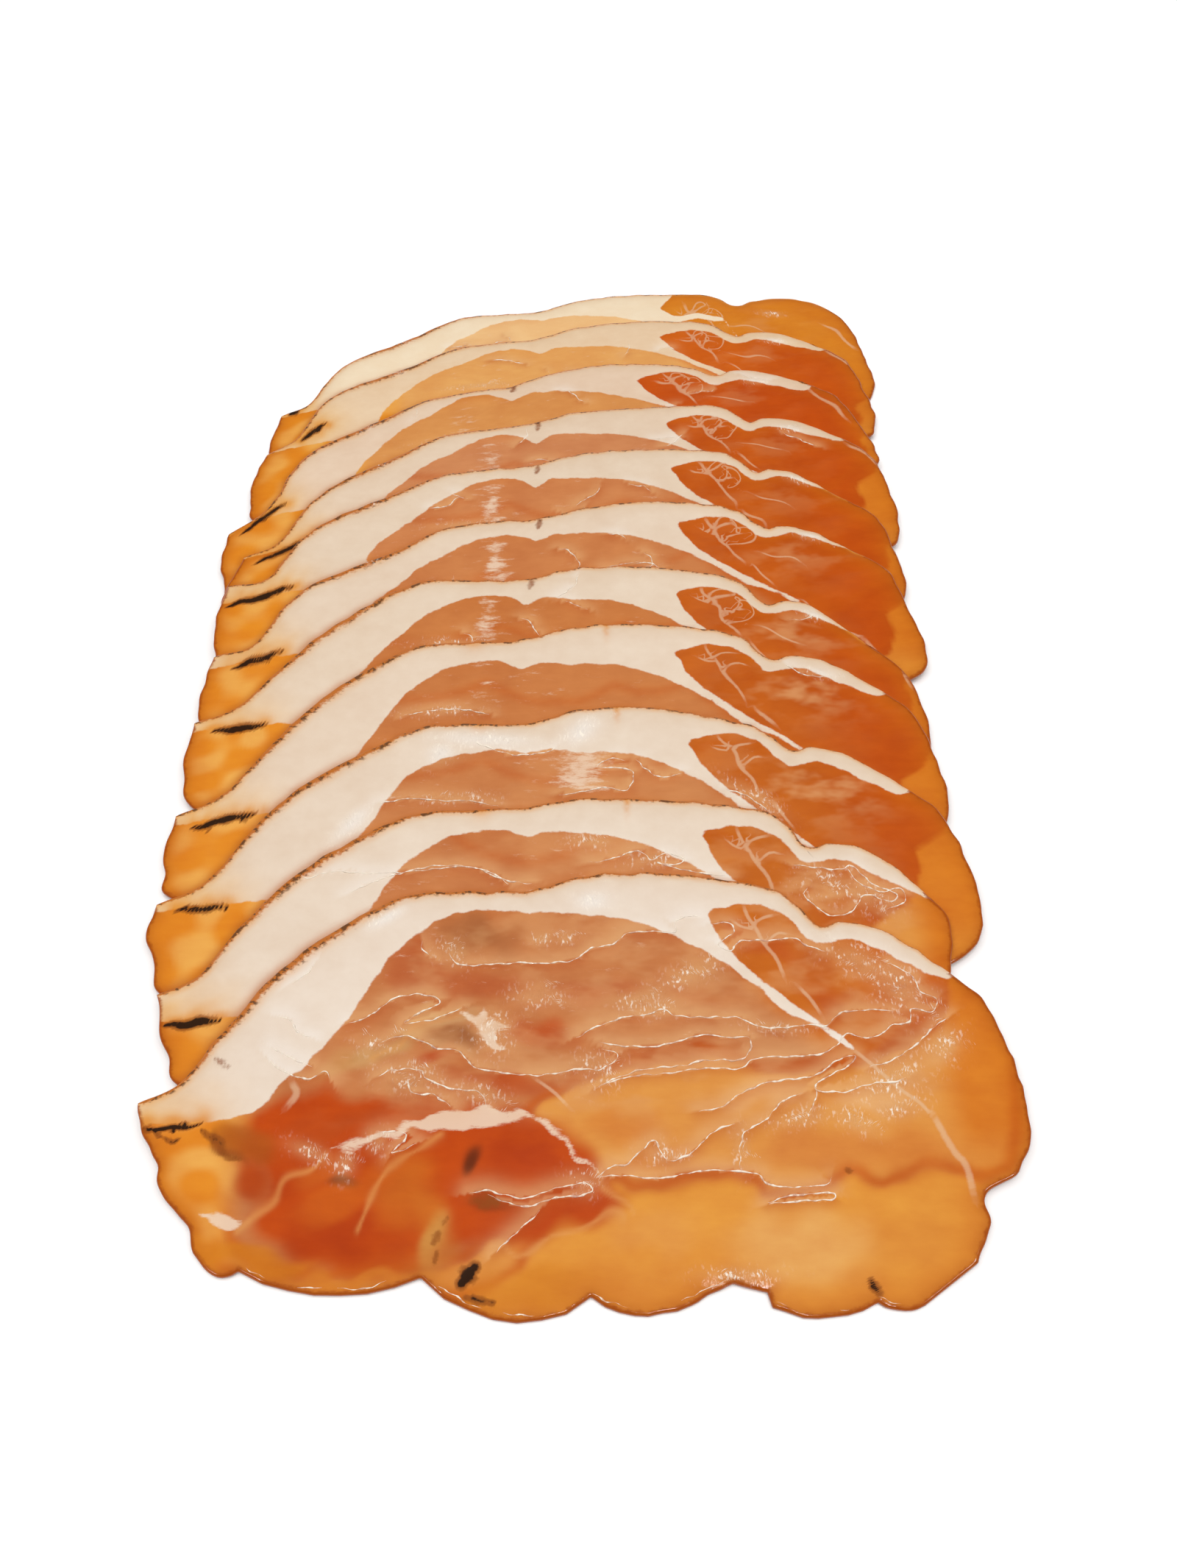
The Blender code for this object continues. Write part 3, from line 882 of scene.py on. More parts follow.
@dataclass(frozen=True)
class FilmCreases:
    """Where the film over the row has folded: raised lines, and patches of fine crumpling.

    The creases of the first four slices are drawn, each in its slice's own frame.

    Attributes:
        lines: the drawn creases of each slice.
        patches: the crumpled patches of each slice, the last for all behind: each is its
            middle, its half lengths across and along, and its turn in degrees.
        haze: how much a painted veil of reflection from lifted film pales the middle lean of each slice.
        muscle_haze: how much that painted veil pales the upper part of the right muscle.
        loose_lines: how many creases a slice has where none are drawn.
        fan_area: how much of a crumpled patch there is for each fan of short strokes.
    """

    lines: tuple[tuple[Curve, ...], ...] = (
        FRONT_CREASES,
        SECOND_CREASES,
        THIRD_CREASES,
        FOURTH_CREASES,
    )
    patches: tuple[tuple[Patch, ...], ...] = (
        FRONT_CRUMPLED,
        SECOND_CRUMPLED,
        THIRD_CRUMPLED,
        FOURTH_CRUMPLED,
    )
    haze: tuple[float, ...] = (0.3, 0.2, 0.12, 0.03)
    muscle_haze: tuple[float, ...] = (0.0, 0.5, 0.5, 0.6, 0.5, 0.3, 0.15)
    loose_lines: int = 5
    fan_area: float = 7.0

    def of_slice(self, index: int) -> list[Points]:
        """The drawn creases of a slice, or a few of its own where none are drawn.

        A loose crease is a random walk of gentle turns, mostly across the row.
        """
        if index < len(self.lines):
            return [whole_curve(line) for line in self.lines[index]]
        rng = np.random.default_rng(700 + index)
        made = []
        for _ in range(self.loose_lines):
            start = rng.uniform((-40.0, -18.0), (80.0, -2.0))
            heading = rng.normal(-0.15, 0.3) + np.cumsum(rng.normal(0.0, 0.35, 6))
            steps = np.stack([np.cos(heading), np.sin(heading)], axis=1)
            made.append(whole_curve(start + np.cumsum(steps * rng.uniform(1.2, 2.6), axis=0)))
        return made

    def hatching(self, index: int) -> list[Points]:
        """Short strokes over the crumpled patches, side by side in fans that swell and fade."""
        rng = np.random.default_rng(40 + index)
        made = []
        for x, y, across, along, turn in for_slice(self.patches, index):
            way = unit(math.radians(turn))
            off = unit(math.radians(turn) + math.pi / 2)
            for _ in range(1 + round(across * along / self.fan_area)):
                start = np.array([x, y]) + way * across * rng.normal(0.0, 0.5)
                start = start + off * along * rng.normal(0.0, 0.5)
                heading = math.radians(turn) + rng.normal(0.0, 0.3)
                over = heading + rng.choice((1.0, 1.6, 2.2))
                gap = rng.uniform(0.42, 0.62)
                count = int(rng.integers(5, 12))
                for number in range(count):
                    hump = math.sin(math.pi * (number + 0.7) / (count + 0.4))
                    bend = over + np.linspace(-0.3, 0.3, 5) * rng.normal()
                    steps = unit(bend).T * hump * rng.uniform(0.25, 0.6)
                    made.append(start + number * gap * unit(heading) + np.cumsum(steps, axis=0))
        return made

    def crumpled(self, points: Points, index: int) -> Values:
        """How crumpled the film is at each point: the highest of the patches' bells."""
        crumple = np.zeros(len(points))
        for patch in for_slice(self.patches, index):
            crumple = np.maximum(crumple, np.exp(-square_reach(points, patch)))
        return crumple


@dataclass(frozen=True)
class DarkMark:
    """A black cleft, crust or bruise: its line, its half width and how black it is."""

    points: Curve
    width: float
    black: float


@dataclass(frozen=True)
class Blot:
    """A soft ellipse of another colour: its centre, half lengths, turn, colour and share."""

    u: float
    v: float
    across: float
    along: float
    turn: float
    colour: str
    share: float

    def weight(self, points: Points) -> Values:
        """The share at each point: flat over the middle, then e^-r^4 at a reach of r."""
        reach = square_reach(points, (self.u, self.v, self.across, self.along, self.turn))
        return self.share * np.exp(-(reach**2))


@dataclass(frozen=True)
class Blemishes:
    """Clefts with dried crust in them, bruises, and the uneven colour of the front slice.

    Attributes:
        on_front: the marks that only the front slice has.
        tints: the patches of other colours in its lean.
        crack: the crack at the step in the rind, which some slices share.
        first_cracked: the first slice that has it.
        last_cracked: the last slice that has it.
        cleft_points: how many points a cleft's wavering line has.
        waver: how far each of those strays, as a standard deviation.
        branches: how many short branches a cleft has.
    """

    on_front: tuple[DarkMark, ...] = (
        DarkMark(((-85.8, -54.2), (-84.6, -54.8)), 0.7, 0.8),
        DarkMark(((-73, -54.6), (-70.6, -56.4), (-68.4, -57.4), (-67, -60.2), (-63.4, -61.2)), 0.75, 0.5),
        DarkMark(((-82, -56), (-79, -57.4), (-77.6, -56.6)), 0.35, 0.6),
        DarkMark(((-10.2, -83.4), (-12.8, -86.6)), 1.3, 1),
        DarkMark(((-18.4, -76.6), (-19.2, -78.4)), 0.8, 0.4),
        DarkMark(((-18.4, -80.4), (-18.8, -82.4)), 0.5, 0.4),
        DarkMark(((-17.6, -74.8), (-16.4, -73.4)), 0.4, 0.4),
        DarkMark(((73.6, -86), (75.2, -88.6)), 0.7, 0.8),
        DarkMark(((71, -63.4), (71.8, -63.8)), 0.5, 0.6),
        DarkMark(((-72.6, -38.4), (-69.2, -40.2)), 0.6, 0.35),
        DarkMark(((-11, -69.8), (-6, -70.4)), 1.2, 0.35),
        DarkMark(((-12, -89.4), (-6, -90.4)), 0.6, 0.6),
    )
    crack: DarkMark = DarkMark(((-0.4, 1.2), (0.5, 3.2), (0.8, 5.6)), 0.55, 0.6)
    first_cracked: int = 4
    last_cracked: int = 8
    cleft_points: int = 7
    waver: float = 0.35
    branches: int = 3
    tints: tuple[Blot, ...] = (
        Blot(-13, -7, 9, 5, -10, "#94552D", 0.6),
        Blot(-29, -14, 7, 7, 40, "#B45328", 0.65),
        Blot(-16, -20, 20, 3.4, -2, "#B5562A", 0.75),
        Blot(-17, -33, 6.5, 3.4, -12, "#8F5029", 0.75),
        Blot(-22.4, -37.4, 4, 2, 20, "#B23C0C", 0.85),
        Blot(-36, -37.4, 8, 2.2, 18, "#C89A60", 0.75),
        Blot(-27, -31.6, 8, 2.8, 38, "#CB9C62", 0.8),
        Blot(-19, -28, 8, 2, 6, "#CDA470", 0.7),
        Blot(-44, -39, 5, 3, 30, "#C08246", 0.7),
        Blot(2, -32.4, 8, 3.6, -8, "#B94C1A", 0.85),
        Blot(-8, -43.8, 15, 2.6, -4, "#B34516", 0.85),
        Blot(-22, -49, 12, 2.4, 6, "#B85325", 0.6),
        Blot(36, -36.2, 14, 1.7, 2, "#B65117", 0.95),
        Blot(14, -22, 16, 3, 8, "#BC6236", 0.6),
        Blot(38, -22, 9, 2.4, -24, "#BF6838", 0.5),
        Blot(62, -40, 11, 1.6, 2, "#B9541A", 0.9),
        Blot(86, -34.6, 10, 2.2, 30, "#B74F14", 0.9),
        Blot(97, -25, 2.4, 8, -12, "#BB5719", 0.8),
        Blot(49.6, -4.4, 3.6, 3, 0, "#BF5826", 0.7),
        Blot(58, -9.6, 9, 3.4, -20, "#B74D1B", 0.7),
        Blot(67, -14.6, 6, 5, -35, "#BE5E22", 0.75),
        Blot(71, -24, 6, 4, -35, "#B94F18", 0.8),
        Blot(89, -20.6, 5, 3, -35, "#BD5820", 0.75),
        Blot(79, -23.4, 5, 1.6, 0, "#C3652C", 0.7),
        Blot(66, -59, 14, 5, 0, "#CC722F", 0.6),
        Blot(29, -61, 10, 2.6, 14, "#D07B38", 0.7),
        Blot(22, -54, 9, 4, 0, "#D37B2E", 0.6),
        Blot(86, -59, 10, 5, 0, "#CE742B", 0.6),
        Blot(56, -46, 12, 3, 12, "#E0A46C", 0.6),
        Blot(78, -47.6, 9, 2.6, 0, "#E2A76D", 0.7),
        Blot(96, -36, 6, 3.6, 40, "#DD9C5A", 0.6),
        Blot(60, -79, 15, 8, 0, "#E3A85F", 0.75),
        Blot(28, -76, 10, 5, 0, "#D98F45", 0.5),
        Blot(84, -78, 9, 6, 20, "#D2802E", 0.7),
        Blot(-18.6, -78, 3.6, 6, -8, "#C88B40", 0.85),
        Blot(-27, -67, 6, 8, -30, "#C76618", 0.75),
        Blot(-21, -72, 4, 5, -20, "#C96E1C", 0.6),
        Blot(-46, -64, 5, 4, 30, "#C45C17", 0.6),
        Blot(-12.4, -61.4, 2, 3.4, -16, "#4E220C", 0.85),
        Blot(-39.8, -66, 3.2, 1.5, 0, "#5C2A0E", 0.8),
        Blot(-8, -70.2, 4.4, 1.5, 0, "#8A360C", 0.75),
        Blot(-66, -59, 5, 1.3, -36, "#7E3A10", 0.7),
        Blot(-62, -57.6, 8, 3.6, -20, "#A04C12", 0.75),
        Blot(-58, -81.6, 13, 2.6, -14, "#CB7414", 0.85),
        Blot(-60, -65.6, 5, 4, -40, "#B04004", 0.95),
        Blot(-37, -86.6, 14, 1.8, 6, "#CC7422", 0.85),
        Blot(3, -87.6, 14, 5, 8, "#D07C1F", 0.9),
        Blot(0, -61, 9, 4, -10, "#B23B07", 0.8),
        Blot(-42, -77, 12, 5, 0, "#B03A02", 0.8),
        Blot(-40, -69.6, 12, 3.4, 24, "#C65A10", 0.7),
        Blot(-31, -62.6, 6, 3, 20, "#C4580F", 0.6),
        Blot(-42, -53, 12, 3, 16, "#B4450F", 0.7),
    )

    def marks(self, index: int) -> list[DarkMark]:
        """The dark marks of one slice: its branching cleft, and on the front slice the others."""
        rng = np.random.default_rng(90 + index)
        u, v, half, slope = ROW[index].cleft
        along = np.linspace(-half, half, self.cleft_points)
        waver = rng.normal(0.0, self.waver, self.cleft_points)
        line = np.stack([u + along, v + slope * along + waver], axis=1)
        thick = 0.4 if index == 0 else rng.uniform(0.65, 0.9)
        found = [DarkMark(line, thick, 1.0)]
        for share in rng.uniform(0.1, 0.9, self.branches):
            start = np.array([u, v]) + np.array([1.0, slope]) * half * (2 * share - 1)
            way = rng.uniform((-2.6, -2.2), (2.6, 1.4))
            knee = start + way * 0.5 + rng.normal(0.0, 0.3, 2)
            found.append(DarkMark((start, knee, start + way), 0.35, 0.8))
        if self.first_cracked <= index <= self.last_cracked:
            found.append(self.crack)
        return found + list(self.on_front) * (index == 0)


def linear(colour: str) -> tuple[float, float, float, float]:
    """The linear colour of an sRGB hex value such as "#C4703F"."""
    parts = np.array([int(colour[i : i + 2], 16) for i in (1, 3, 5)]) / 255.0
    straight = np.where(parts <= 0.04045, parts / 12.92, ((parts + 0.055) / 1.055) ** 2.4)
    return (*map(float, straight), 1.0)


def plain(count: int, colour: str) -> Points:
    """One linear colour for each of many points."""
    return np.ones((count, 1)) * linear(colour)[:3]


def blended(colours: Points, other: str, share: Values) -> Points:
    """Linear colours times (1 - share), plus the other colour times the share."""
    part = np.clip(share, 0.0, 1.0)[:, None]
    return colours * (1 - part) + np.asarray(linear(other)[:3]) * part


@dataclass(frozen=True)
class HamTints:
    """The colours that all slices share, as light shining through few or many layers shows them.

    Attributes:
        single: one layer of lean on a pale table.
        double: two layers of lean.
        outer: one layer at the right end.
        muscle_end: the right muscle, towards its outer end.
        deep: the deeply cured muscle at the lower left.
        lobe: the lean under the left tip.
        lobe_pale: where that lobe is thin.
        band: just inside the edge of a slice that shows through from below.
        rim: the dried rim of lean.
        rim_dark: the very edge of that rim.
        lifted: lean under film that doesn't touch it, paled by a painted veil of the light that film
            reflects.
        clung: lean beside a crease, where the film clings to it.
        stain_and_shade: beside the edge of the slice in front, painted contact shade with a thin brown
            line of staining.
        tip: the tanned fat of the left tip.
        rust: fat beside a cleft.
        seam: a faint line of fat deep in the lean.
        painted_sheen: fat under crumpled or lifted film, lightened to near white as a painted highlight.
        tanned: fat near the rind.
    """

    single: str = "#DC8F35"
    double: str = "#D98E3F"
    outer: str = "#D3771F"
    muscle_end: str = "#B94504"
    deep: str = "#BA4304"
    lobe: str = "#E0871F"
    lobe_pale: str = "#EDB55E"
    band: str = "#BC510A"
    rim: str = "#C8670E"
    rim_dark: str = "#A9560F"
    lifted: str = "#E0AA74"
    clung: str = "#B5501A"
    stain_and_shade: str = "#B8641C"
    tip: str = "#E2AE66"
    rust: str = "#DB8A26"
    seam: str = "#DE9C56"
    painted_sheen: str = "#F7F1EA"
    tanned: str = "#D6B48E"


class Field(Enum):
    """The attributes that carry a slice's pattern to its material, three numbers each.

    GRAIN: u, v and the depth in the ham, in millimetres.
    LEAN: the linear colour of the lean.
    FAT: the linear colour of the fat.
    TISSUE: distance into the lean; signed place across the nearest vein, in half widths;
        how near that vein is, 0 to 1.
    EDGE: distance from the slice's edge; width of the rind there; how much fat wisps the lean.
    MARKS: how black; how crumpled the film is; how far it may have lifted off, which sets a painted veil
    of reflection.
    """

    GRAIN = "ham_grain"
    LEAN = "ham_lean"
    FAT = "ham_fat"
    TISSUE = "ham_tissue"
    EDGE = "ham_edge"
    MARKS = "ham_marks"


@dataclass(frozen=True)
class Measured:
    """What is worked out at points of a slice.

    Attributes:
        in_row: the points in the frame of the row.
        fields: the attributes.
        bare: whether nothing lies on the point, from 0 to 1.
        upper: the height of the upper face.
        lower: the height of the lower face.
        inside: whether the point is inside the slice's outline.
    """

    in_row: Points
    fields: dict[Field, Points]
    bare: Values
    upper: Values
    lower: Values
    inside: Values


@dataclass
class HamSlice:
    """One thin slice: a closed slab with rounded rims, with its pattern as attributes.

    Attributes:
        index: which slice, from 0 at the front.
        row: the row that it lies in.
        spacing: how far apart the points of its grid are.
        pattern: the curves that all slices share.
        film: the creases of the film.
        blemishes: the clefts and stains.
        tints: the colours that all slices share.
        rim: how far from an edge the grid's outermost points are.
        middle_level: the share of the thickness at which the two faces meet at the rim.
        top_round: the radius of the upper face's rim.
        bottom_round: the radius of the lower face's rim.
        fat_height: how far the fat stands above the lean.
        swell_height: the height of the slice's long, soft swells.
        crumple_height: the height of crumpled film.
        cleft_depth: how deep a cleft is.
    """

    index: int
    row: SliceRow
    spacing: float
    pattern: HamPattern = field(default_factory=HamPattern)
    film: FilmCreases = field(default_factory=FilmCreases)
    blemishes: Blemishes = field(default_factory=Blemishes)
    tints: HamTints = field(default_factory=HamTints)
    rim: tuple[float, ...] = (0.0, 0.12, 0.35, 0.75, 1.4)
    middle_level: float = 0.45
    top_round: float = 0.6
    bottom_round: float = 0.5
    fat_height: float = 0.12
    swell_height: float = 0.2
    crumple_height: float = 0.12
    cleft_depth: float = 0.15

    @property
    def node(self) -> str:
        """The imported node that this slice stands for."""
        return f"slice_{self.index + 1:02d}"

    def grid(self) -> tuple[Points, int, int]:
        """The grid of points between the slice's four sides, in its own frame.

        Returns:
            The points row by row, how many rows, and how many in a row.
        """
        outline = self.row.own[self.index]
        shape = self.row.shape
        ring = np.vstack([outline, outline[:1]])
        back = ring[: shape.rind_end + 1]
        right = ring[shape.rind_end : shape.front_right + 1][::-1]
        front = ring[shape.front_right : shape.front_left + 1][::-1]
        left = ring[shape.front_left :]
        u = shares_with_fine_ends(190.0, self.spacing, self.rim)
        v = shares_with_fine_ends(88.0, self.spacing, self.rim)
        sides = along_line(front, u), along_line(back, u), along_line(left, v), along_line(right, v)
        return between(sides, u, v).reshape(-1, 2), len(v), len(u)

    def tissue(self, points: Points) -> Points:
        """Distance into the lean, and where the nearest vein is, left of it or right."""
        cap = self.pattern.fat(self.index)[0]
        into_lean = 0.3 * waves(points, 6.0, 11 + self.index) - depth_inside(points, cap, 30.0)
        across = np.full(len(points), 30.0)
        near = np.zeros(len(points))
        height = 1.3 * min(self.index, 3) / 3
        sway = [height * waves(points, 14.0, seed + self.index) for seed in (50, 70)]
        swayed = points + np.stack(sway, axis=1)
        for vein in self.pattern.thin_lines(self.index):
            line = whole_curve(vein.points)
            close, found = near_line(swayed, line, 4.0)
            here = found.distance / vein.width
            closer = here < np.abs(across[close])
            across[close[closer]] = (here * found.side)[closer]
            ends = np.minimum(found.place, len(line) - 2 - found.place)
            mask = (1 - smooth(found.distance, 0.9, 1.6)) * smooth(ends, -1.0, 3.0)
            near[close] = np.maximum(near[close], mask)
        return np.stack([into_lean, across, near], axis=1)

    def beside_creases(self, points: Points) -> tuple[Values, Values]:
        """Where film has lifted above a crease, and where it clings below one, 0 to 1."""
        lifted = np.zeros(len(points))
        clinging = np.zeros(len(points))
        for line in self.film.of_slice(self.index):
            close, found = near_line(points, line, 6.0)
            way = np.diff(line, axis=0)[found.place, 0]
            above = found.side * np.sign(way) > 0
            strong = smooth(np.abs(way), 0.02, 0.2)
            lift = above * strong * bell(found.distance, 0.0, 2.8)
            cling = ~above * strong * bell(found.distance, 0.0, 2.0)
            lifted[close] = np.maximum(lifted[close], lift)
            clinging[close] = np.maximum(clinging[close], cling)
        return lifted, clinging

    def rind_width(self, place: Values) -> Values:
        """The width of the rind at each place of the outline, thick and dirty at the left."""
        u = self.row.own[self.index][place, 0]
        width = np.interp(
            u,
            (-100.0, -76.0, -66.0, -56.0, -44.0, -34.0, -10.0, 60.0, 78.0, 104.0),
            (1.0, 1.5, 2.5, 2.8, 2.2, 1.5, 1.15, 1.05, 0.6, 0.35),
        )
        return width * (place < self.row.shape.rind_end)

    def wisps(self, points: Points) -> Values:
        """Where fat runs through the lean: arcs and patches in front, one of them a painted highlight on
        crumpled film, marbling further back.
        """
        u = points[:, 0]
        v = points[:, 1]
        left_of_wedge = smooth(52.0 - u - self.pattern.wedge_lean * (v + 20.0), -2.0, 8.0)
        total = 0.3 * (left_of_wedge * smooth(v, -44.0, -36.0))
        moved = bent(points, 9.0, 21, 1.1)
        if self.index == 0:
            for island in self.pattern.fat(0)[1:]:
                total = np.maximum(total, smooth(depth_inside(moved, island, 6.0), -1.3, 1.5))
            return total
        if self.index == 2:
            return total + 0.5 * bell(u, 14.0, 7.0) * bell(v, -10.0, 8.0)
        rows_back = float(smooth(np.float64(self.index), 2.0, 4.0))
        streak = bell(moved[:, 0], -6.5 - 1.5 * self.index, 3.6) * bell(v, -12.0, 9.0)
        strength = np.interp(self.index, (3.0, 5.0, 7.0, 9.0), (0.3, 0.52, 0.4, 0.05))
        return total + strength * streak * rows_back

    def layers(self, points: Points, depths: dict[int, Values]) -> tuple[Values, Values]:
        """How many slices lie at each point, and how strongly one's edge shows through."""
        below = [depth for other, depth in depths.items() if other > self.index]
        if self.index == 0:
            moved = bent(points, 8.0, 35, 0.5)
            curves = self.pattern.second_below, self.pattern.third_below
            below = [depth_inside(moved, catmull_rom(curve, 4), 12.0) for curve in curves]
        layers = np.ones(len(points))
        band = np.zeros(len(points))
        for depth in below:
            layers = layers + smooth(depth, -0.8, 1.0)
            band = np.maximum(band, bell(depth, 1.4, 1.6))
        return layers, band

    def lean(self, points: Points, depths: dict[int, Values], edge: Values) -> Points:
        """The lean's linear colour, which follows its muscle and the layers under it.

        Args:
            points: the points, in the slice's own frame.
            depths: how deep they are inside the other slices.
            edge: how far they are from the slice's edge.

        Returns:
            The colours, one row each.
        """
        u = points[:, 0]
        v = points[:, 1]
        lay = ROW[self.index]
        layers, band = self.layers(points, depths)
        right = smooth(u - 55.0 + self.pattern.wedge_lean * (v + 20.0), -6.0, 2.0)
        full = min(3.0 if self.index < 2 else 2.0, float(len(ROW) - self.index))
        thick = smooth(layers, full - 0.9, full - 0.1)
        base = blended(plain(len(points), lay.lean), lay.muscle, right)
        muscle_end = 0.7 * right * smooth(u, 70.0, 96.0) * (full > 1.0)
        base = blended(base, self.tints.muscle_end, muscle_end)
        few = plain(len(points), self.tints.single)
        few = blended(few, self.tints.double, smooth(layers, 1.1, 1.9))
        outer = right * smooth(v, -66.0, -52.0) * smooth(u, 92.0, 102.0)
        few = blended(few, self.tints.outer, outer)
        colour = few * (1 - thick)[:, None] + base * thick[:, None]
        colour = blended(colour, self.tints.band, band * (0.8 if self.index == 0 else 0.4))
        if self.index == 0:
            core = depth_inside(points, catmull_rom(tuple(self.pattern.dark_lean), 3), 9.0)
            core = core + 1.6 * waves(points, 13.0, 31)
            colour = blended(colour, self.tints.deep, smooth(core, -2.0, 3.0))
        start = 60.0 - 1.2 * self.index
        lobe = smooth(-u, start, start + 10.0)
        colour = blended(colour, self.tints.lobe, lobe)
        thin = smooth(waves(points, 12.0, 33 + self.index), -0.5, 0.7)
        colour = blended(colour, self.tints.lobe_pale, 0.6 * lobe * thin * smooth(edge, 0.6, 4.0))
        colour = blended(colour, self.tints.rim, 0.5 * bell(edge, 0.0, 6.0))
        return blended(colour, self.tints.rim_dark, 0.5 * bell(edge, 0.0, 2.0))

    def fat_tint(self, points: Points, away: Values, edge: Values) -> Points:
        """The fat's linear colour: tanned at the left tip and rusty beside the cleft.

        Args:
            points: the points, in the slice's own frame.
            away: how far they are from the cleft.
            edge: how far they are from the slice's edge.

        Returns:
            The colours, one row each.
        """
        colour = plain(len(points), ROW[self.index].fat)
        colour = blended(colour, self.tints.tanned, 0.4 * bell(edge, 0.0, 4.0))
        if 0 < self.index < 4:
            run = bell(points[:, 0], 24.0, 0.7) * bell(edge, 0.0, 4.5)
            spread = 0.6 * bell(points[:, 0], -14.0, 2.6) * bell(edge, 0.0, 3.0)
            colour = blended(colour, self.tints.rust, 0.8 * np.maximum(run, spread))
        tip = smooth(-points[:, 0], 62.0, 88.0)
        colour = blended(colour, self.tints.tip, 0.8 * bell(away, 0.0, 9.0) * (0.35 + 0.65 * tip))
        return blended(colour, self.tints.rust, 0.85 * bell(away, 0.0, 2.6))

    def black(self, points: Points) -> tuple[Values, Values]:
        """How black each point is, and how far it is from the cleft at the left tip.

        A mark fades linearly with the distance from its line, over a half width that swells
        from nothing at its ends.
        """
        total = np.zeros(len(points))
        marks = self.blemishes.marks(self.index)
        away = np.full(len(points), 50.0)
        for number, mark in enumerate(marks):
            line = whole_curve(mark.points, 4)
            found = nearest_on(points, line, closed=False)
            share = (found.place + 0.5) / (len(line) - 1)
            width = 2.2 * mark.width * (0.25 + 0.75 * np.sin(math.pi * share) ** 0.7)
            total = np.maximum(total, mark.black * (1 - found.distance / width))
            if number == 0:
                away = found.distance + 0.8 * waves(points, 5.0, 95 + self.index)
        return total, away

    def spotted(self, points: Points, lean: Points) -> Points:
        """The front slice's lean with its uneven patches and its faint seams of fat."""
        moved = bent(points, 11.0, 41, 1.4)
        for blot in self.blemishes.tints:
            lean = blended(lean, blot.colour, blot.weight(moved))
        for seam in self.pattern.seams:
            close, found = near_line(moved, whole_curve(seam), 5.0)
            share = np.zeros(len(points))
            breadth = 0.75 + 0.4 * waves(points[close], 7.0, 44)
            share[close] = 0.5 * bell(found.distance, 0.0, breadth)
            lean = blended(lean, self.tints.seam, share)
        return lean

    def covering(self, points: Points, depths: dict[int, Values]) -> tuple[Values, Values]:
        """Whether each point lies bare, and how much painted contact shade, with a thin brown line of
        staining, it gets beside a slice in front.
        """
        bare = np.ones(len(points))
        stain_and_shade = np.zeros(len(points))
        left = smooth(-points[:, 0], 26.0, 58.0)
        for other, depth in depths.items():
            if other < self.index:
                bare = bare * smooth(-depth, -0.2, 1.2)
                beside = bell(np.maximum(-depth, 0.0), 0.0, 0.8 + 1.0 * left)
                stain_and_shade = np.maximum(stain_and_shade, (0.5 + 0.3 * left) * beside)
        return bare, stain_and_shade

    def haze(self, points: Points, bare: Values) -> Values:
        """How far the film may have lifted off, over the middle lean and the right muscle: the share of
        painted veil of reflection there.
        """
        u = points[:, 0]
        v = points[:, 1]
        middle = for_slice(self.film.haze, self.index) * smooth(v, -56.0, -46.0) * bare
        middle = middle * smooth(-u, -100.0, -90.0) * smooth(u, -50.0, -40.0)
        muscle = bell(u, 78.0, 17.0) * bell(v, -16.0, 8.0) * bare
        return middle + for_slice(self.film.muscle_haze, self.index) * muscle

    def measure(self, points: Points) -> Measured:
        """Works out everything at points of the slice's own frame.

        The upper face is the middle level, plus a quarter circle at the rim, plus the low
        relief of fat, swells, crumpled film and clefts where nothing lies on it.
        """
        in_row = self.row.in_row(points, self.index)
        depths = self.row.depths(in_row, self.index)
        found = nearest_on(points, self.row.own[self.index], closed=True)
        edge = found.distance
        bare, stain_and_shade = self.covering(points, depths)
        tissue = self.tissue(points)
        black, away = self.black(points)
        crumple = self.film.crumpled(points, self.index)
        above, below = self.beside_creases(points)
        haze = self.haze(points, bare)
        lean = self.lean(points, depths, edge)
        if self.index == 0:
            lean = self.spotted(points, lean)
        lean = blended(lean, self.tints.clung, 0.4 * below * bare)
        # Painted reflection and highlight: lean paled where the film lifts beside a crease or crumples.
        lean = blended(lean, self.tints.lifted, np.maximum(0.5 * above, 0.45 * crumple) * bare)
        fat = self.fat_tint(points, away, edge)
        # Painted highlight: fat lightened to near white under crumpled or lifted film.
        fat = blended(fat, self.tints.painted_sheen, np.maximum(0.55 * crumple, 0.3 * above) * bare)
        # Painted contact shade, with a thin brown line of staining, beside the edge of the slice in front.
        fat = blended(fat, self.tints.stain_and_shade, 0.85 * stain_and_shade)
        lean = blended(lean, self.tints.stain_and_shade, stain_and_shade)
        depth_in_ham = np.full(len(points), self.index * 1.7)
        fields = {
            Field.GRAIN: np.column_stack([points, depth_in_ham]),
            Field.LEAN: lean,
            Field.FAT: fat,
            Field.TISSUE: tissue,
            Field.EDGE: np.stack([edge, self.rind_width(found.place), self.wisps(points)], axis=1),
            Field.MARKS: np.stack([np.maximum(black, 0.0), crumple * bare, haze], axis=1),
        }
        level = THICKNESS * self.middle_level
        middle = self.row.underside(in_row, self.index) + level
        top = self.rounded(edge, self.top_round) * (THICKNESS * (1 - self.middle_level))
        bottom = self.rounded(edge, self.bottom_round) * level
        relief = self.fat_height * smooth(-tissue[:, 0], -1.0, 1.0)
        relief += self.swell_height * (0.5 + 0.5 * waves(in_row, 15.0, 3))
        relief += self.crumple_height * crumple * (0.5 + waves(in_row, 3.2, 5))
        relief -= self.cleft_depth * np.clip(black, 0.0, 1.0)
        upper = middle + top + relief * bare * smooth(edge, 0.2, 3.0)
        return Measured(in_row, fields, bare, upper, middle - bottom, found.inside)

    @staticmethod
    def rounded(inward: Values, radius: float) -> Values:
        """Quarter circle: 0 at the rim, 1 from the radius inwards."""
        t = np.clip(inward / radius, 0.0, 1.0)
        return np.sqrt(np.maximum(0.0, 1.0 - (1.0 - t) ** 2))

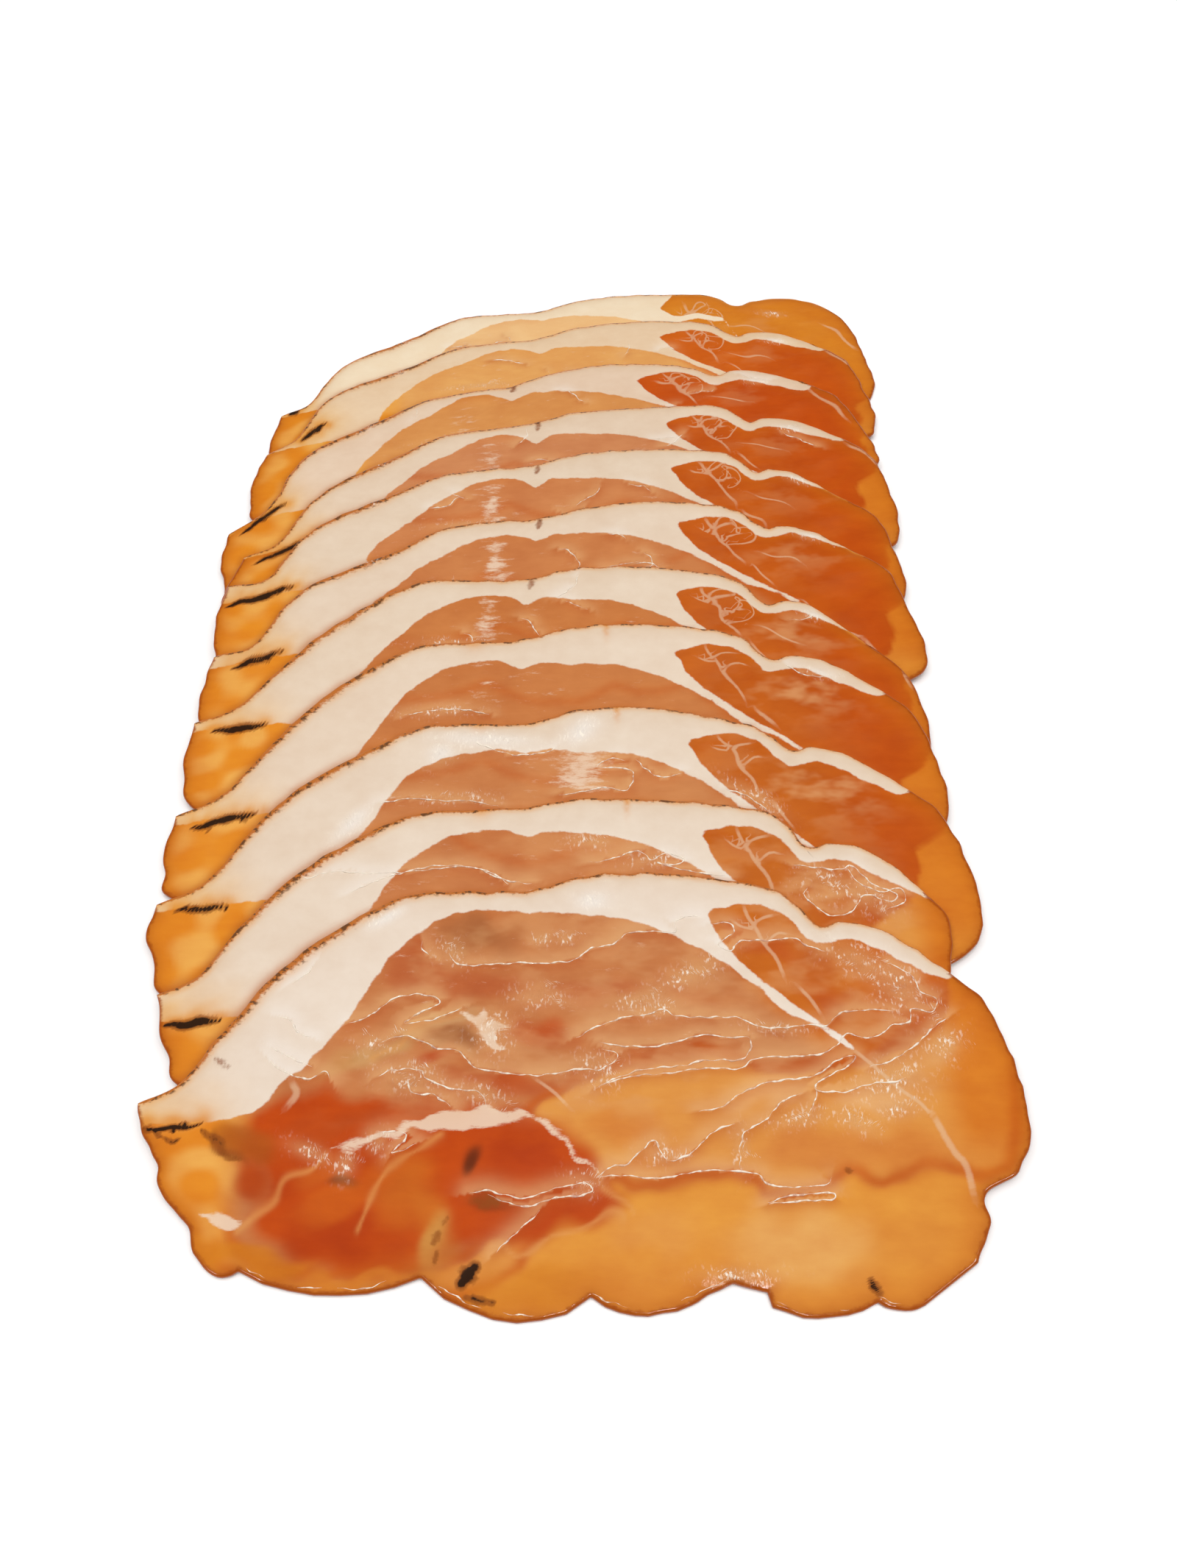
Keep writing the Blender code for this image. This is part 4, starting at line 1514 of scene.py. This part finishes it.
    def build(self, finish: bpy.types.Material) -> bpy.types.Object:
        """Joins an upper and a lower grid at their shared rim into one closed mesh.

        Args:
            finish: the material.

        Returns:
            The finished object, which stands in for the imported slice.
        """
        points, rows, columns = self.grid()
        measured = self.measure(points)
        count = rows * columns
        number = np.arange(count).reshape(rows, columns)
        is_rim = np.ones((rows, columns), bool)
        is_rim[1:-1, 1:-1] = False
        beneath = number.copy()
        beneath[~is_rim] = count + np.arange(np.count_nonzero(~is_rim))
        inside = number[~is_rim]
        flat = (measured.in_row - self.row.centre) * MM
        upper = np.column_stack([flat, measured.upper * MM])
        lower = np.column_stack([flat, measured.lower * MM])[inside]
        faces = np.vstack([self.quads(number), self.quads(beneath)[:, ::-1]])
        fields = {
            kind.value: np.vstack([values, values[inside]])
            for kind, values in measured.fields.items()
        }
        piece = made_object(f"ham_{self.node}", np.vstack([upper, lower]), faces, fields, finish)
        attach(piece, "root")
        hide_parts(self.node)
        return piece

    @staticmethod
    def quads(number: np.ndarray) -> np.ndarray:
        """A grid's four-cornered faces, in the order that turns them upwards."""
        corners = number[:-1, :-1], number[:-1, 1:], number[1:, 1:], number[1:, :-1]
        return np.stack(corners, axis=-1).reshape(-1, 4)


def made_object(
    name: str,
    vertices: Points,
    faces: np.ndarray,
    fields: dict[str, Points],
    finish: bpy.types.Material,
) -> bpy.types.Object:
    """Puts worked-out arrays into a mesh and the mesh into the scene.

    Args:
        name: the object's name.
        vertices: the points, in metres, one row each.
        faces: the numbers of the corners, one row for each face.
        fields: three numbers for each point, by the attribute's name.
        finish: the material.

    Returns:
        The object, at the origin, with its place in its mesh.
    """
    mesh = bpy.data.meshes.new(name)
    mesh.from_pydata(vertices.tolist(), [], faces.tolist())
    mesh.update()
    for kind, values in fields.items():
        layer = mesh.attributes.new(kind, "FLOAT_VECTOR", "POINT")
        layer.data.foreach_set("vector", values.astype(np.float32).ravel())
    mesh.shade_smooth()
    mesh.materials.append(finish)
    obj = bpy.data.objects.new(name, mesh)
    bpy.context.scene.collection.objects.link(obj)
    return obj


@dataclass(frozen=True)
class Ridge:
    """One crease to sweep.

    Attributes:
        middle: the middles of its rings, with their heights.
        side: the sideways direction at each ring.
        beneath: the colour of the meat under each ring.
        thick: its thickness, as a share of a full crease's.
    """

    middle: Points
    side: Points
    beneath: Points
    thick: float


@dataclass
class FilmFolds:
    """The creases of the film on one slice: low ridges swept along their lines.

    Attributes:
        ham: the slice that the film clings to.
        profile: the ridge's section, in half widths and heights, with its foot in the ham.
        half_width: half the width of a full crease.
        height: the height of a full crease.
        step: how far apart the rings of a ridge are.
        rim_inset: how far inside the front edge the film's own fold runs.
        stroke_thick: the thickness of the short strokes in crumpled film.
    """

    ham: HamSlice
    profile: tuple[tuple[float, float], ...] = (
        (-1.0, 0.0), (-0.6, 0.7), (0.0, 1.0), (0.6, 0.7), (1.0, 0.0), (0.0, -0.8),
    )
    half_width: float = 0.23
    height: float = 0.2
    step: float = 0.32
    rim_inset: float = 1.3
    stroke_thick: float = 0.55

    def lines(self) -> list[tuple[Points, float]]:
        """Every line to sweep with its thickness: creases, hatching and the fold at the rim."""
        film = self.ham.film
        found = [(line, 1.0) for line in film.of_slice(self.ham.index)]
        found += [(line, self.stroke_thick) for line in film.hatching(self.ham.index)]
        shape = self.ham.row.shape
        rim = self.ham.row.own[self.ham.index][shape.front_right : shape.front_left + 1]
        rim = along_line(rim, np.linspace(0.01, 0.99, 300))
        way = np.gradient(rim, axis=0)
        way /= np.linalg.norm(way, axis=1)[:, None]
        inset = self.rim_inset + 0.4 * waves(rim, 9.0, 91)
        rim = rim + np.stack([way[:, 1], -way[:, 0]], axis=1) * inset[:, None]
        rng = np.random.default_rng(60 + self.ham.index)
        stops = np.cumsum(rng.integers(5, 22, 40))
        runs = [(a, b) for a, b in zip(stops[:-1:2], stops[1::2]) if b < len(rim)]
        return found + [(rim[a:b], rng.uniform(0.4, 0.8)) for a, b in runs]

    def ridges(self) -> list[Ridge]:
        """The creases that lie bare.

        A crease wavers to either side by a short wave, and is cut to its longest run that is
        on the slice and has nothing on it.
        """
        drawn = self.lines()
        lines = []
        sides = []
        for line, _ in drawn:
            length = float(np.linalg.norm(np.diff(line, axis=0), axis=1).sum())
            count = max(5, round(length / self.step))
            points = along_line(line, np.linspace(0.0, 1.0, count))
            way = np.gradient(points, axis=0)
            way /= np.linalg.norm(way, axis=1)[:, None]
            side = np.stack([-way[:, 1], way[:, 0]], axis=1)
            lines.append(points + side * (0.22 * waves(points, 3.0, 300))[:, None])
            sides.append(side)
        measured = self.ham.measure(np.vstack(lines))
        free = measured.inside & (measured.bare > 0.5)
        free &= measured.fields[Field.EDGE][:, 0] > 0.7
        middle = np.column_stack([measured.in_row, measured.upper])
        side = self.ham.row.turned(np.vstack(sides), self.ham.index)
        found = []
        start = 0
        for points, (_, thick) in zip(lines, drawn):
            here = free[start : start + len(points)]
            stops = np.flatnonzero(~np.concatenate([[False], here, [False]]))
            first = int(np.argmax(np.diff(stops)))
            run = slice(start + stops[first], start + stops[first + 1] - 1)
            if run.stop - run.start > 3:
                on_lean = (measured.fields[Field.TISSUE][run, 0] > 0.4)[:, None]
                lean = measured.fields[Field.LEAN][run]
                beneath = np.where(on_lean, lean, measured.fields[Field.FAT][run])
                found.append(Ridge(middle[run], side[run], beneath, thick))
            start += len(points)
        return found

    def build(self, finish: bpy.types.Material) -> bpy.types.Object:
        """Sweeps the section along every crease: middle + side * x * width, up by z * height.

        Width and height swell and fade by short waves and taper to the ends.

        Args:
            finish: the material.

        Returns:
            The finished object, one closed ridge for each crease.
        """
        profile = np.asarray(self.profile)
        corners = len(profile)
        vertices = []
        faces: list[list[int]] = []
        beneath = []
        start = 0
        for ridge in self.ridges():
            middle = ridge.middle
            count = len(middle)
            share = np.linspace(0.0, 1.0, count)
            taper = smooth(np.minimum(share, 1 - share) * count * self.step, 0.0, 3.0 * ridge.thick)
            swell = 0.66 + 0.4 * waves(middle[:, :2], 4.5, 77) + 0.5 * waves(middle[:, :2], 1.2, 78)
            size = np.clip(swell, 0.12, 1.4) * (0.12 + 0.88 * taper) * ridge.thick
            reach = profile[None, :, 0] * size[:, None] * self.half_width
            flat = middle[:, None, :2] + ridge.side[:, None] * reach[:, :, None]
            rise = middle[:, None, 2] + profile[None, :, 1] * size[:, None] * self.height
            vertices.append(np.concatenate([flat - self.ham.row.centre, rise[..., None]], axis=2))
            number = start + np.arange(count * corners).reshape(count, corners)
            after = np.roll(number, -1, axis=1)
            quads = np.stack([number[:-1], number[1:], after[1:], after[:-1]], axis=-1)
            faces += quads.reshape(-1, 4).tolist()
            faces += [number[0].tolist(), number[-1][::-1].tolist()]
            beneath.append(np.repeat(ridge.beneath, corners, axis=0))
            start += count * corners
        where = np.vstack([v.reshape(-1, 3) for v in vertices]) * MM
        name = f"film_folds_{self.ham.index + 1:02d}"
        fields = {Field.LEAN.value: np.vstack(beneath)}
        piece = made_object(name, where, np.array(faces, dtype=object), fields, finish)
        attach(piece, "root")
        return piece


def add_node(
    tree: bpy.types.NodeTree,
    kind: str,
    inputs: Sequence[Any] | dict[str, Any] = (),
    stops: Sequence[tuple[float, str]] = (),
    **settings: Any,
) -> Socket:
    """Adds a node, sets it and links it.

    Args:
        tree: the node tree that it goes into.
        kind: the node's type, without its first word.
        inputs: a number, a hex colour or an output to link, for each input in use, in
            order or by name. None leaves an input as it is.
        stops: the places and hex colours of a colour ramp.
        settings: its properties by name.

    Returns:
        The first output in use.
    """
    node = tree.nodes.new(f"ShaderNode{kind}")
    for name, value in settings.items():
        setattr(node, name, value)
    in_use = [socket for socket in node.inputs if socket.enabled]
    named = inputs.items() if isinstance(inputs, dict) else enumerate(inputs)
    for key, value in named:
        socket = node.inputs[key] if isinstance(key, str) else in_use[key]
        if isinstance(value, Socket):
            tree.links.new(value, socket)
        elif isinstance(value, str):
            socket.default_value = linear(value)
        elif value is not None:
            socket.default_value = value
    for number, (place, colour) in enumerate(stops):
        if number >= len(node.color_ramp.elements):
            node.color_ramp.elements.new(1.0)
        node.color_ramp.elements[number].position = place
        node.color_ramp.elements[number].color = linear(colour)
    outputs = [socket for socket in node.outputs if socket.enabled]
    return outputs[0] if outputs else node.inputs[0]


Add = Callable[..., Socket]
Sockets = dict[str, Socket]
SMOOTH_STEP = {"interpolation_type": "SMOOTHSTEP"}
PRODUCT = {"operation": "MULTIPLY"}
PRODUCT_PLUS = {"operation": "MULTIPLY_ADD"}
COLOURS = {"data_type": "RGBA"}


@dataclass(frozen=True)
class CuredHamUnderFilm:
    """Dry-cured ham, sliced on a machine and wrapped in clear clinging film.

    The cut lean is moist and lets light through, so a single slice is amber and a stack is
    deep red. The fat is opaque and satiny. The film lies on both as a hard, clear gloss.
    """

    vein: str = "#E2BD98"
    wisp: str = "#E9CDB2"
    # Painted veil of the light that lifted film reflects over the lean.
    lifted: str = "#DCA36C"
    halo: str = "#DE9338"
    rind: str = "#B9620F"
    dark_rind: str = "#54290B"
    stained: str = "#8A4613"
    crust: str = "#1C110A"
    rim_line: str = "#9E4604"
    pepper: str = "#7A4B28"
    # Near-white colour of the painted glints on crumpled film.
    folded_film_glint: str = "#FFF3E2"
    ior: float = 1.45
    roughness: float = 0.45
    coat_roughness: float = 0.09
    coat_ior: float = 1.5

    def material(self) -> bpy.types.Material:
        """Builds the material's nodes: tissues, then edges and marks, then the film."""
        made = bpy.data.materials.new("cured ham under clinging film")
        made.use_nodes = True
        made.node_tree.nodes.clear()
        add = partial(add_node, made.node_tree)
        vectors = {kind: self.attribute(made.node_tree, kind.value) for kind in Field}
        noise = self.noises(add, vectors[Field.GRAIN])
        parts = self.parts(made.node_tree, vectors)
        colour = self.tissues(add, vectors, parts, noise)
        colour = self.edges(add, parts, noise, colour)
        colour = self.marks(add, parts, noise, colour)
        bump = self.bumps(add, parts, noise)
        shader = add(
            "BsdfPrincipled",
            {
                "Base Color": colour,
                "Roughness": self.roughness,
                "IOR": self.ior,
                "Specular IOR Level": 0.12,
                "Coat Weight": 1.0,
                "Coat Roughness": self.coat_roughness,
                "Coat IOR": self.coat_ior,
                "Normal": bump,
                "Coat Normal": bump,
            },
        )
        add("OutputMaterial", {"Surface": shader})
        return made

    @staticmethod
    def attribute(tree: bpy.types.NodeTree, name: str) -> Socket:
        """The vector that an attribute of the mesh holds."""
        return add_node(tree, "Attribute", attribute_name=name).node.outputs["Vector"]

    @staticmethod
    def parts(tree: bpy.types.NodeTree, vectors: dict[Field, Socket]) -> Sockets:
        """The numbers of the attributes by name."""
        names = {
            Field.TISSUE: ("into lean", "across vein", "near vein"),
            Field.EDGE: ("inward", "rind", "wisps"),
            Field.MARKS: ("black", "crumple", "haze"),
        }
        found = {}
        for kind, three in names.items():
            outputs = add_node(tree, "SeparateXYZ", [vectors[kind]]).node.outputs
            found.update(zip(three, outputs))
        return found

    @staticmethod
    def noises(add: Add, grain: Socket) -> Sockets:
        """The patterns that the layers share, each scaled from a size in millimetres."""
        sizes = {
            "patch": ((15.0, 11.0, 9.0), 3.0, 0.55),
            "mottle": ((4.0, 3.4, 4.0), 4.0, 0.6),
            "fibre": ((6.0, 2.0, 5.0), 4.0, 0.6),
            "cloud": ((17.0, 9.0, 12.0), 3.0, 0.55),
            "wisp": ((8.0, 2.4, 7.0), 6.0, 0.75),
            "ragged": ((1.6, 1.2, 3.0), 3.0, 0.6),
            "speck": ((1.3, 1.0, 2.0), 3.0, 0.6),
            "crinkle": ((0.7, 1.5, 3.0), 2.0, 0.5),
        }
        made = {}
        for name, (size, detail, roughness) in sizes.items():
            scale = tuple(1.0 / s for s in size)
            turned = add("Mapping", [grain, None, (0.0, 0.0, math.radians(7.0)), scale])
            made[name] = add("TexNoise", [turned, 1.0, detail, roughness])
        return made

    def tissues(
        self, add: Add, vectors: dict[Field, Socket], parts: Sockets, noise: Sockets
    ) -> Socket:
        """Lean streaked along its fibres and wisped with fat, paled by a painted veil of reflection where
        film lifts, the fat, and the veins.
        """
        streak = add("Mix", [0.74, noise["fibre"], noise["patch"]])
        grey = add("MapRange", [streak, 0.3, 0.7, 0.36, 0.64])
        lean = add("Mix", [0.75, vectors[Field.LEAN], grey], blend_type="SOFT_LIGHT", **COLOURS)
        wisp = add("Math", [noise["wisp"], 1.7, parts["wisps"]], **PRODUCT_PLUS)
        wisp = add("MapRange", [wisp, 1.3, 1.7, 0.0, 0.85], **SMOOTH_STEP)
        lean = add("Mix", [wisp, lean, self.wisp], **COLOURS)
        # Painted reflection: a pale veil in clouds over the lean where the film has lifted.
        haze = add("MapRange", [noise["cloud"], 0.44, 0.62], **SMOOTH_STEP)
        haze = add("Math", [haze, parts["haze"]], **PRODUCT)
        lean = add("Mix", [haze, lean, self.lifted], **COLOURS)
        soft = add("Mix", [0.4, noise["patch"], noise["mottle"]])
        grey = add("MapRange", [soft, 0.3, 0.7, 0.38, 0.64])
        fat = add("Mix", [0.7, vectors[Field.FAT], grey], blend_type="SOFT_LIGHT", **COLOURS)
        place = add("Math", [noise["ragged"], 0.9, parts["into lean"]], **PRODUCT_PLUS)
        into = add("MapRange", [place, 0.2, 0.75], **SMOOTH_STEP)
        across = add("Math", [parts["across vein"]], operation="ABSOLUTE")
        across = add("Math", [noise["ragged"], 0.9, across], **PRODUCT_PLUS)
        vein = add("MapRange", [across, 0.9, 2.1, 0.5, 0.0], **SMOOTH_STEP)
        vein = add("Math", [vein, parts["near vein"]], **PRODUCT)
        lean = add("Mix", [vein, lean, self.vein], **COLOURS)
        return add("Mix", [into, fat, lean], **COLOURS)

    def edges(self, add: Add, parts: Sockets, noise: Sockets, colour: Socket) -> Socket:
        """The rind with its rusty halo and dirt, and the dried rim of lean."""
        inward = parts["inward"]
        is_rind = add("Math", [parts["rind"], 0.05], operation="GREATER_THAN")
        reach = add("Math", [parts["rind"], 1.5, 0.9], **PRODUCT_PLUS)
        halo = add("MapRange", [inward, 0.0, reach, 0.8, 0.0], **SMOOTH_STEP)
        uneven = add("MapRange", [noise["mottle"], 0.35, 0.6, 0.35, 1.0])
        halo = add("Math", [halo, uneven], **PRODUCT)
        halo = add("Math", [halo, is_rind], **PRODUCT)
        colour = add("Mix", [halo, colour, self.halo], **COLOURS)
        ragged = add("MapRange", [noise["speck"], 0.3, 0.7, 0.6, 1.4])
        width = add("Math", [parts["rind"], ragged], **PRODUCT)
        inner = add("Math", [width, 0.45], **PRODUCT)
        line = add("MapRange", [inward, inner, width, 0.9, 0.0], **SMOOTH_STEP)
        line = add("Math", [line, is_rind], **PRODUCT)
        dirt = add("Math", [noise["mottle"], 0.9, noise["speck"]], **PRODUCT_PLUS)
        dirt = add("MapRange", [dirt, 0.96, 1.08], **SMOOTH_STEP)
        rind = add("Mix", [dirt, self.rind, self.dark_rind], **COLOURS)
        colour = add("Mix", [line, colour, rind], **COLOURS)
        rim = add("Math", [noise["ragged"], -1.6, inward], **PRODUCT_PLUS)
        rim = add("MapRange", [rim, -0.5, 0.5, 0.9, 0.0], **SMOOTH_STEP)
        is_lean = add("Math", [1.0, is_rind], operation="SUBTRACT")
        rim = add("Math", [rim, is_lean], **PRODUCT)
        return add("Mix", [rim, colour, self.rim_line], **COLOURS)

    def marks(self, add: Add, parts: Sockets, noise: Sockets, colour: Socket) -> Socket:
        """Peppery specks, the black of the clefts, and painted glints: near-white spots in crumpled film.
        """
        cells = add("Mapping", [self.grain_of(noise), None, None, (0.06, 0.07, 0.5)])
        speck = add("TexVoronoi", [cells, None, 1.0])
        speck = add("MapRange", [speck, 0.012, 0.024, 0.75, 0.0], **SMOOTH_STEP)
        colour = add("Mix", [speck, colour, self.pepper], **COLOURS)
        uneven = add("Math", [noise["ragged"], 0.4, -0.55], **PRODUCT_PLUS)
        uneven = add("Math", [noise["mottle"], 0.7, uneven], **PRODUCT_PLUS)
        black = add("Math", [uneven, parts["black"]], operation="ADD")
        # Here it is only the brown staining beside the clefts, the meat's own colour.
        stain_and_shade = add("MapRange", [black, -0.02, 0.4, 0.0, 0.75], **SMOOTH_STEP)
        beside = add("MapRange", [parts["black"], 0.0, 0.16])
        stain_and_shade = add("Math", [stain_and_shade, beside], **PRODUCT)
        colour = add("Mix", [stain_and_shade, colour, self.stained], **COLOURS)
        black = add("MapRange", [black, 0.4, 0.66, 0.0, 0.95], **SMOOTH_STEP)
        colour = add("Mix", [black, colour, self.crust], **COLOURS)
        # Painted glints: near-white spots where the film is crumpled.
        painted_glint = add("MapRange", [noise["crinkle"], 0.52, 0.66], **SMOOTH_STEP)
        patchy = add("MapRange", [noise["mottle"], 0.44, 0.6], **SMOOTH_STEP)
        painted_glint = add("Math", [painted_glint, patchy], **PRODUCT)
        painted_glint = add("Math", [painted_glint, parts["crumple"]], **PRODUCT)
        return add("Mix", [painted_glint, colour, self.folded_film_glint], **COLOURS)

    @staticmethod
    def grain_of(noise: Sockets) -> Socket:
        """The grain's own coordinates, taken from where the first pattern reads them."""
        mapping = noise["patch"].node.inputs["Vector"].links[0].from_node
        return mapping.inputs["Vector"].links[0].from_socket

    @staticmethod
    def bumps(add: Add, parts: Sockets, noise: Sockets) -> Socket:
        """Height in millimetres: crumpled film over softly mottled, fibrous meat."""
        film = add("Math", [noise["crinkle"], parts["crumple"]], **PRODUCT)
        height = add("Math", [noise["mottle"], 0.1], **PRODUCT)
        height = add("Math", [noise["fibre"], 0.04, height], **PRODUCT_PLUS)
        height = add("Math", [film, 0.5, height], **PRODUCT_PLUS)
        return add("Bump", {"Strength": 1.0, "Distance": MM, "Height": height})


@dataclass(frozen=True)
class FoldedFilm:
    """Clear polythene film, folded to a crest whose pale colour is partly milky folded film and partly a
    painted highlight, with the meat showing between.
    """

    crest: str = "#FFF2DF"
    roughness: float = 0.25
    coat_roughness: float = 0.06

    def material(self) -> bpy.types.Material:
        """Builds the material's nodes: a pale crest, partly a painted highlight, broken along its length.
        """
        made = bpy.data.materials.new("folded clear film")
        made.use_nodes = True
        made.node_tree.nodes.clear()
        add = partial(add_node, made.node_tree)
        beneath = CuredHamUnderFilm.attribute(made.node_tree, Field.LEAN.value)
        where = add_node(made.node_tree, "TexCoord").node.outputs["Object"]
        # Painted highlight, partly milky film: a near-white crest in broken runs, with the meat's colour
        # between them.
        broken = add("TexNoise", [where, 1.0 / (1.7 * MM), 2.0, 0.5])
        share = add("MapRange", [broken, 0.38, 0.56, 0.3, 0.92], **SMOOTH_STEP)
        colour = add("Mix", [share, beneath, self.crest], **COLOURS)
        shader = add(
            "BsdfPrincipled",
            {
                "Base Color": colour,
                "Roughness": self.roughness,
                "Coat Weight": 1.0,
                "Coat Roughness": self.coat_roughness,
            },
        )
        add("OutputMaterial", {"Surface": shader})
        return made


@dataclass(frozen=True)
class Softbox:
    """A far, round, soft light.

    Attributes:
        name: its name.
        towards: the direction that it is seen in.
        wide: how many degrees wide it is.
        strength: its strength.
        mirrored: whether the glossy film mirrors it.
    """

    name: str
    towards: tuple[float, float, float]
    wide: float
    strength: float
    mirrored: bool = True

    def build(self) -> None:
        """Adds the light, turned to shine from its direction."""
        lamp = bpy.data.lights.new(self.name, "SUN")
        lamp.angle = math.radians(self.wide)
        lamp.energy = self.strength
        obj = bpy.data.objects.new(self.name, lamp)
        x, y, z = self.towards
        obj.rotation_euler = (math.atan2(math.hypot(x, y), z), 0.0, math.atan2(x, -y))
        obj.visible_glossy = self.mirrored
        bpy.context.scene.collection.objects.link(obj)


@dataclass
class Studio:
    """The pale floor, the soft lights, the dim surround and the camera.

    Attributes:
        centre: the row's centre.
        floor_side: the side of the square floor.
        height: how high the camera is above the table.
        pitch: how far it looks down, in degrees.
        focal_share: the focal length as a share of the frame's longer side.
        floor_colour: the colour of the floor.
        softboxes: two wide lights that the film doesn't mirror, and small ones for its glints.
    """

    centre: Points
    floor_side: float = 8.0
    height: float = 0.266
    pitch: float = 55.7
    focal_share: float = 1600.0 / 2131.0
    floor_colour: str = "#FDFCFB"
    softboxes: tuple[Softbox, ...] = (
        Softbox("key", (-0.35, 0.1, 1.0), 60.0, 1.62, mirrored=False),
        Softbox("fill", (0.45, 0.0, 1.0), 60.0, 1.28, mirrored=False),
        Softbox("glint", (0.1, -0.26, 1.0), 6.0, 0.24),
        Softbox("left glint", (-0.5, -0.26, 1.0), 6.0, 0.2),
        Softbox("right glint", (0.55, -0.2, 1.0), 6.0, 0.16),
    )

    def floor(self) -> None:
        """A pale matt board, as one flat face."""
        half = self.floor_side / 2
        corners = np.array([(-half, -half, 0), (half, -half, 0), (half, half, 0), (-half, half, 0)])
        board = bpy.data.materials.new("matt painted board")
        board.use_nodes = True
        shader = board.node_tree.nodes["Principled BSDF"]
        shader.inputs["Base Color"].default_value = linear(self.floor_colour)
        shader.inputs["Roughness"].default_value = 0.9
        shader.inputs["Specular IOR Level"].default_value = 0.1
        made_object("floor", corners, np.array([[0, 1, 2, 3]]), {}, board)

    @staticmethod
    def surround() -> None:
        """A surround that is pale at eye level and dark above, so the film mirrors little."""
        world = bpy.data.worlds.new("studio surround")
        world.use_nodes = True
        world.node_tree.nodes.clear()
        add = partial(add_node, world.node_tree)
        way = add("TexCoord").node.outputs["Generated"]
        up = add("SeparateXYZ", [way]).node.outputs["Z"]
        level = add("MapRange", [up, 0.1, 0.4, 0.6, 0.04], **SMOOTH_STEP)
        background = add("Background", ["#FFFFFF", level])
        add("OutputWorld", {"Surface": background})
        bpy.context.scene.world = world

    def camera(self) -> None:
        """A camera over the front of the row, looking down and towards the back."""
        data = bpy.data.cameras.new("camera")
        data.sensor_width = 36.0
        data.lens = data.sensor_width * self.focal_share
        data.clip_start = 0.01
        obj = bpy.data.objects.new("camera", data)
        obj.location = (-self.centre[0] * MM, -self.centre[1] * MM, self.height)
        obj.rotation_euler = (math.radians(90.0 - self.pitch), 0.0, 0.0)
        bpy.context.scene.collection.objects.link(obj)
        bpy.context.scene.camera = obj

    def build(self) -> None:
        """Sets up the whole studio."""
        self.floor()
        for softbox in self.softboxes:
            softbox.build()
        self.surround()
        self.camera()
        bpy.context.scene.view_settings.view_transform = "Standard"


def main() -> None:
    """Builds the slices from front to back with the film's folds on them, then the studio."""
    logging.basicConfig(level=logging.INFO, format="%(name)s: %(message)s")
    for obj in list(bpy.data.objects):
        bpy.data.objects.remove(obj, do_unlink=True)
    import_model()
    row = SliceRow()
    cured_ham = CuredHamUnderFilm().material()
    folded_film_glint = FoldedFilm().material()
    for index in range(len(ROW)):
        ham = HamSlice(index, row, FINE_SPACING if index == 0 else SPACING)
        for piece in (ham.build(cured_ham), FilmFolds(ham).build(folded_film_glint)):
            LOG.info("%s has %d faces", piece.name, len(piece.data.polygons))
    Studio(row.centre).build()


if __name__ == "__main__":
    main()
